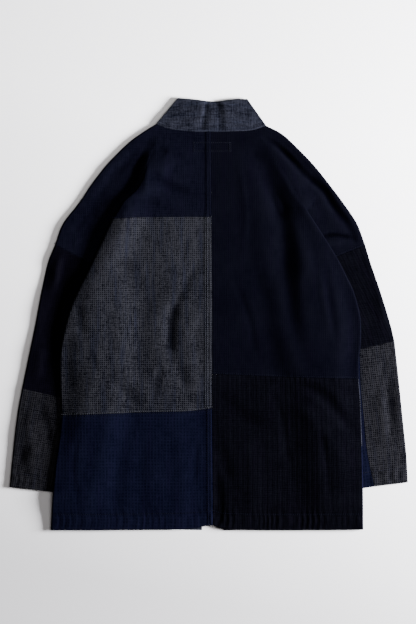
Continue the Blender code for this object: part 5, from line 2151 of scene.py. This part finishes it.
@dataclass
class Jacket:
    """The whole jacket, made piece by piece.

    Attributes:
        form: The heights at which its layers lie.
        made: Its pieces by the name of the solid that each one replaces.
        finishes: Materials by the name of the finish.
    """

    form: RestingForm
    made: dict[str, bpy.types.Object] = field(default_factory=dict)
    finishes: dict[str, bpy.types.Material] = field(default_factory=dict)

    def body(self) -> list[tuple[Panel, ClothFinish]]:
        """The back panels, with their cloth.

        Returns:
            Each piece's maker and its cloth.
        """
        form = self.form
        yoke = ShoulderPanel("back_left_yoke", form, CREST_LEFT, EDGE_LEFT_YOKE, FOOT_LEFT, CENTRE_UPPER, YOKE_SEAM,
                             SHOULDER_LEFT, SHOULDER_LEFT_END, ARMHOLE_LEFT, form.left_back, 0.46, 0.42, 19.0)
        upper = ShoulderPanel("back_right_upper", form, CREST_RIGHT, EDGE_RIGHT_UPPER, FOOT_RIGHT,
                              CENTRE_RIGHT_UPPER, RIGHT_SEAM, SHOULDER_RIGHT, SHOULDER_RIGHT_END, ARMHOLE_RIGHT,
                              form.back)
        middle = BackPanel("back_left_middle", form, YOKE_SEAM, MIDDLE_SEAM, EDGE_LEFT_MIDDLE, CENTRE_MIDDLE,
                           form.left_back, tucked_turn)
        lower = BackPanel("back_left_lower", form, MIDDLE_SEAM, HEM_LEFT, EDGE_LEFT_LOWER, CENTRE_LOWER,
                          form.left_back)
        ribbed = BackPanel("back_right_lower", form, RIGHT_SEAM, HEM_RIGHT, EDGE_RIGHT_LOWER, CENTRE_RIGHT_LOWER,
                           form.back, lambda y: RIGHT_TURN, 30)
        return [(yoke, NAVY), (middle, GREY), (lower, BLUE), (upper, RIGHT_NAVY), (ribbed, RIBBED)]

    def fronts(self) -> list[tuple[Panel, ClothFinish]]:
        """The fronts, their bands and the collar, with their cloth.

        Returns:
            Each piece's maker and its cloth.
        """
        form = self.form
        left = FrontPanel("front_left", form, Side.LEFT, (SHOULDER_LEFT, SHOULDER_LEFT_END), FRONT_LEFT_TURN,
                          EDGE_LEFT_MIDDLE + EDGE_LEFT_LOWER[1:], BAND_SEAM_LEFT, LEVEL, (FRONT_JOINS, HEM_Y))
        upper = FrontPanel("front_right_upper", form, Side.RIGHT, (SHOULDER_RIGHT, SHOULDER_RIGHT_END),
                           FRONT_RIGHT_TURN, EDGE_RIGHT_UPPER, BAND_SEAM_RIGHT, LEVEL, (FRONT_JOINS, -126.0),
                           (0, 1))
        middle = FrontPanel("front_right_middle", form, Side.RIGHT, (), (), EDGE_RIGHT_LOWER, BAND_SEAM_RIGHT,
                            RIGHT_TURN, (-126.0, FRONT_PATCH), (1, 1))
        lower = FrontPanel("front_right_lower", form, Side.RIGHT, (), (), EDGE_RIGHT_LOWER, BAND_SEAM_RIGHT,
                           RIGHT_TURN, (FRONT_PATCH, -420.0), (1, 0))
        bands = [(FrontBand("band_left", form, BAND_SEAM_LEFT, BAND_EDGE_LEFT), BAND),
                 (FrontBand("band_right", form, BAND_SEAM_RIGHT, BAND_EDGE_RIGHT), BAND)]
        return [(left, NAVY), (upper, NAVY), (middle, GREY), (lower, BLUE), *bands, (Collar("collar", form), BAND)]

    def sleeves(self) -> list[tuple[Sleeve, ClothFinish]]:
        """The pieces of both sleeves, with their cloth.

        Returns:
            Each piece's maker and its cloth.
        """
        form = self.form
        return [
            (Sleeve("sleeve_left_upper", form, ARMHOLE_LEFT[::-1], SLEEVE_LEFT_SEAM, SLEEVE_LEFT_OUT,
                    SLEEVE_LEFT_IN), SLEEVE_NAVY),
            (Sleeve("sleeve_left_lower", form, SLEEVE_LEFT_SEAM, CUFF_LEFT, CUFF_LEFT_OUT, CUFF_LEFT_IN),
             CUFF_GREY),
            (Sleeve("sleeve_right_upper", form, ARMHOLE_RIGHT[::-1], SLEEVE_RIGHT_SEAM, SLEEVE_RIGHT_OUT,
                    SLEEVE_RIGHT_IN, True, 12), RIBBED),
            (Sleeve("sleeve_right_lower", form, GREY_TOP, GREY_CUFF, CUFF_RIGHT_OUT, BLUE_SEAM, False),
             CUFF_GREY),
            (Sleeve("sleeve_right_inner", form, BLUE_TOP, BLUE_CUFF, CUFF_RIGHT_IN, BLUE_SEAM, False), BLUE),
        ]

    def sewing(self) -> list[tuple[Sewing, str]]:
        """The visible stitches, with the piece that carries them.

        Returns:
            Each thread's rows and the piece's name.
        """
        form = self.form
        pale = Sewing("pale_stitches", PALE_THREAD.material(), "grey_cloth")
        grey = Sewing("grey_stitches", GREY_THREAD.material(), "band_cloth", width=0.001)
        dark = Sewing("indigo_stitches", INDIGO_THREAD.material(), "navy_cloth", width=0.001)
        for x in PALE_ROWS:
            pale.sew([(x, 186), (x + 0.6, 27), (x + 0.8, -180)], form.left_back)
        for x in DARK_ROWS:
            dark.sew([(x - 0.6, 352), (x, 192)], form.left_back)
            dark.sew([(x + 0.8, -188), (x + 1.4, -304), (x + 2.4, -408)], form.left_back)
        pale.sew([(x, y + 2.0) for x, y in MIDDLE_SEAM], form.left_back)
        dark.sew(HEM_SEWING_LEFT, form.left_back)
        dark.sew(HEM_SEWING_RIGHT, form.back, 0.8)
        for seam, off, height in ((RIGHT_SEAM, 2.6, form.back), (YOKE_SEAM, 2.8, form.left_back),
                                  (MIDDLE_SEAM, -2.8, form.left_back), (ARMHOLE_LEFT, 3.4, form.shoulder_cap),
                                  (ARMHOLE_RIGHT, 3.4, form.shoulder_cap)):
            dark.sew([(x, y + off) for x, y in seam], height)
        for line in CUFF_SEWING:
            grey.sew(line, form.sleeve_top)
        for line in NECK_SEWING:
            grey.sew(line, form.sewn_back, 0.4)
        for share in COLLAR_ROWS:
            grey.lay(Collar("collar", form).topstitching(share))
        return [(pale, "back_left_middle"), (dark, "back_right_upper"), (grey, "collar")]

    def build(self) -> None:
        """Make and dress every piece, attach it to the body and hide the solid that it replaces."""
        for maker, finish in (*self.body(), *self.fronts(), *self.sleeves()):
            cloth = maker.build()
            if finish.name not in self.finishes:
                self.finishes[finish.name] = finish.material()
            cloth.data.materials.append(self.finishes[finish.name])
            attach(cloth, BODY)
            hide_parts(maker.name)
            self.made[maker.name] = cloth
            LOG.info("%s: %d faces of %s", cloth.name, len(cloth.data.polygons), finish.name)
        threads: dict[str, bpy.types.Object] = {}
        for rows, carrier in self.sewing():
            threads[carrier] = rows.build()
            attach(threads[carrier], BODY)
            LOG.info("%s: %d faces", rows.name, len(threads[carrier].data.polygons))
        for name, cut in CUTS.items():
            list(cut.rests_on)
            [threads[name]] if name in threads else []


def resting_form() -> RestingForm:
    """The form of the jacket at rest, with all its folds and creases.

    Returns:
        The form.
    """
    body = Relief(BODY_FOLDS, BODY_CREASES, BODY_PUCKERS, (Unevenness(1, 70.0, 0.4), Unevenness(2, 21.0, 0.12)))
    cap = Relief(CAP_FOLDS, CAP_CREASES, (), (Unevenness(3, 40.0, 0.3), Unevenness(4, 15.0, 0.15)))
    sleeve = Relief(SLEEVE_FOLDS, SLEEVE_CREASES, SLEEVE_PUCKERS, (Unevenness(7, 38.0, 0.35),
                                                                   Unevenness(9, 15.0, 0.18)))
    return RestingForm(body, cap, sleeve)


def main() -> None:
    """Make the jacket and the studio, and measure both boxes."""
    logging.basicConfig(level=logging.INFO, format="%(name)s %(message)s")
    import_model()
    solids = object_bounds()
    Jacket(resting_form()).build()
    Studio().build()
    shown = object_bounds()
    boxes = {name: [[float(value) for value in corner] for corner in box]
             for name, box in (("cad", solids), ("visual", shown))}


if __name__ == "__main__":
    main()
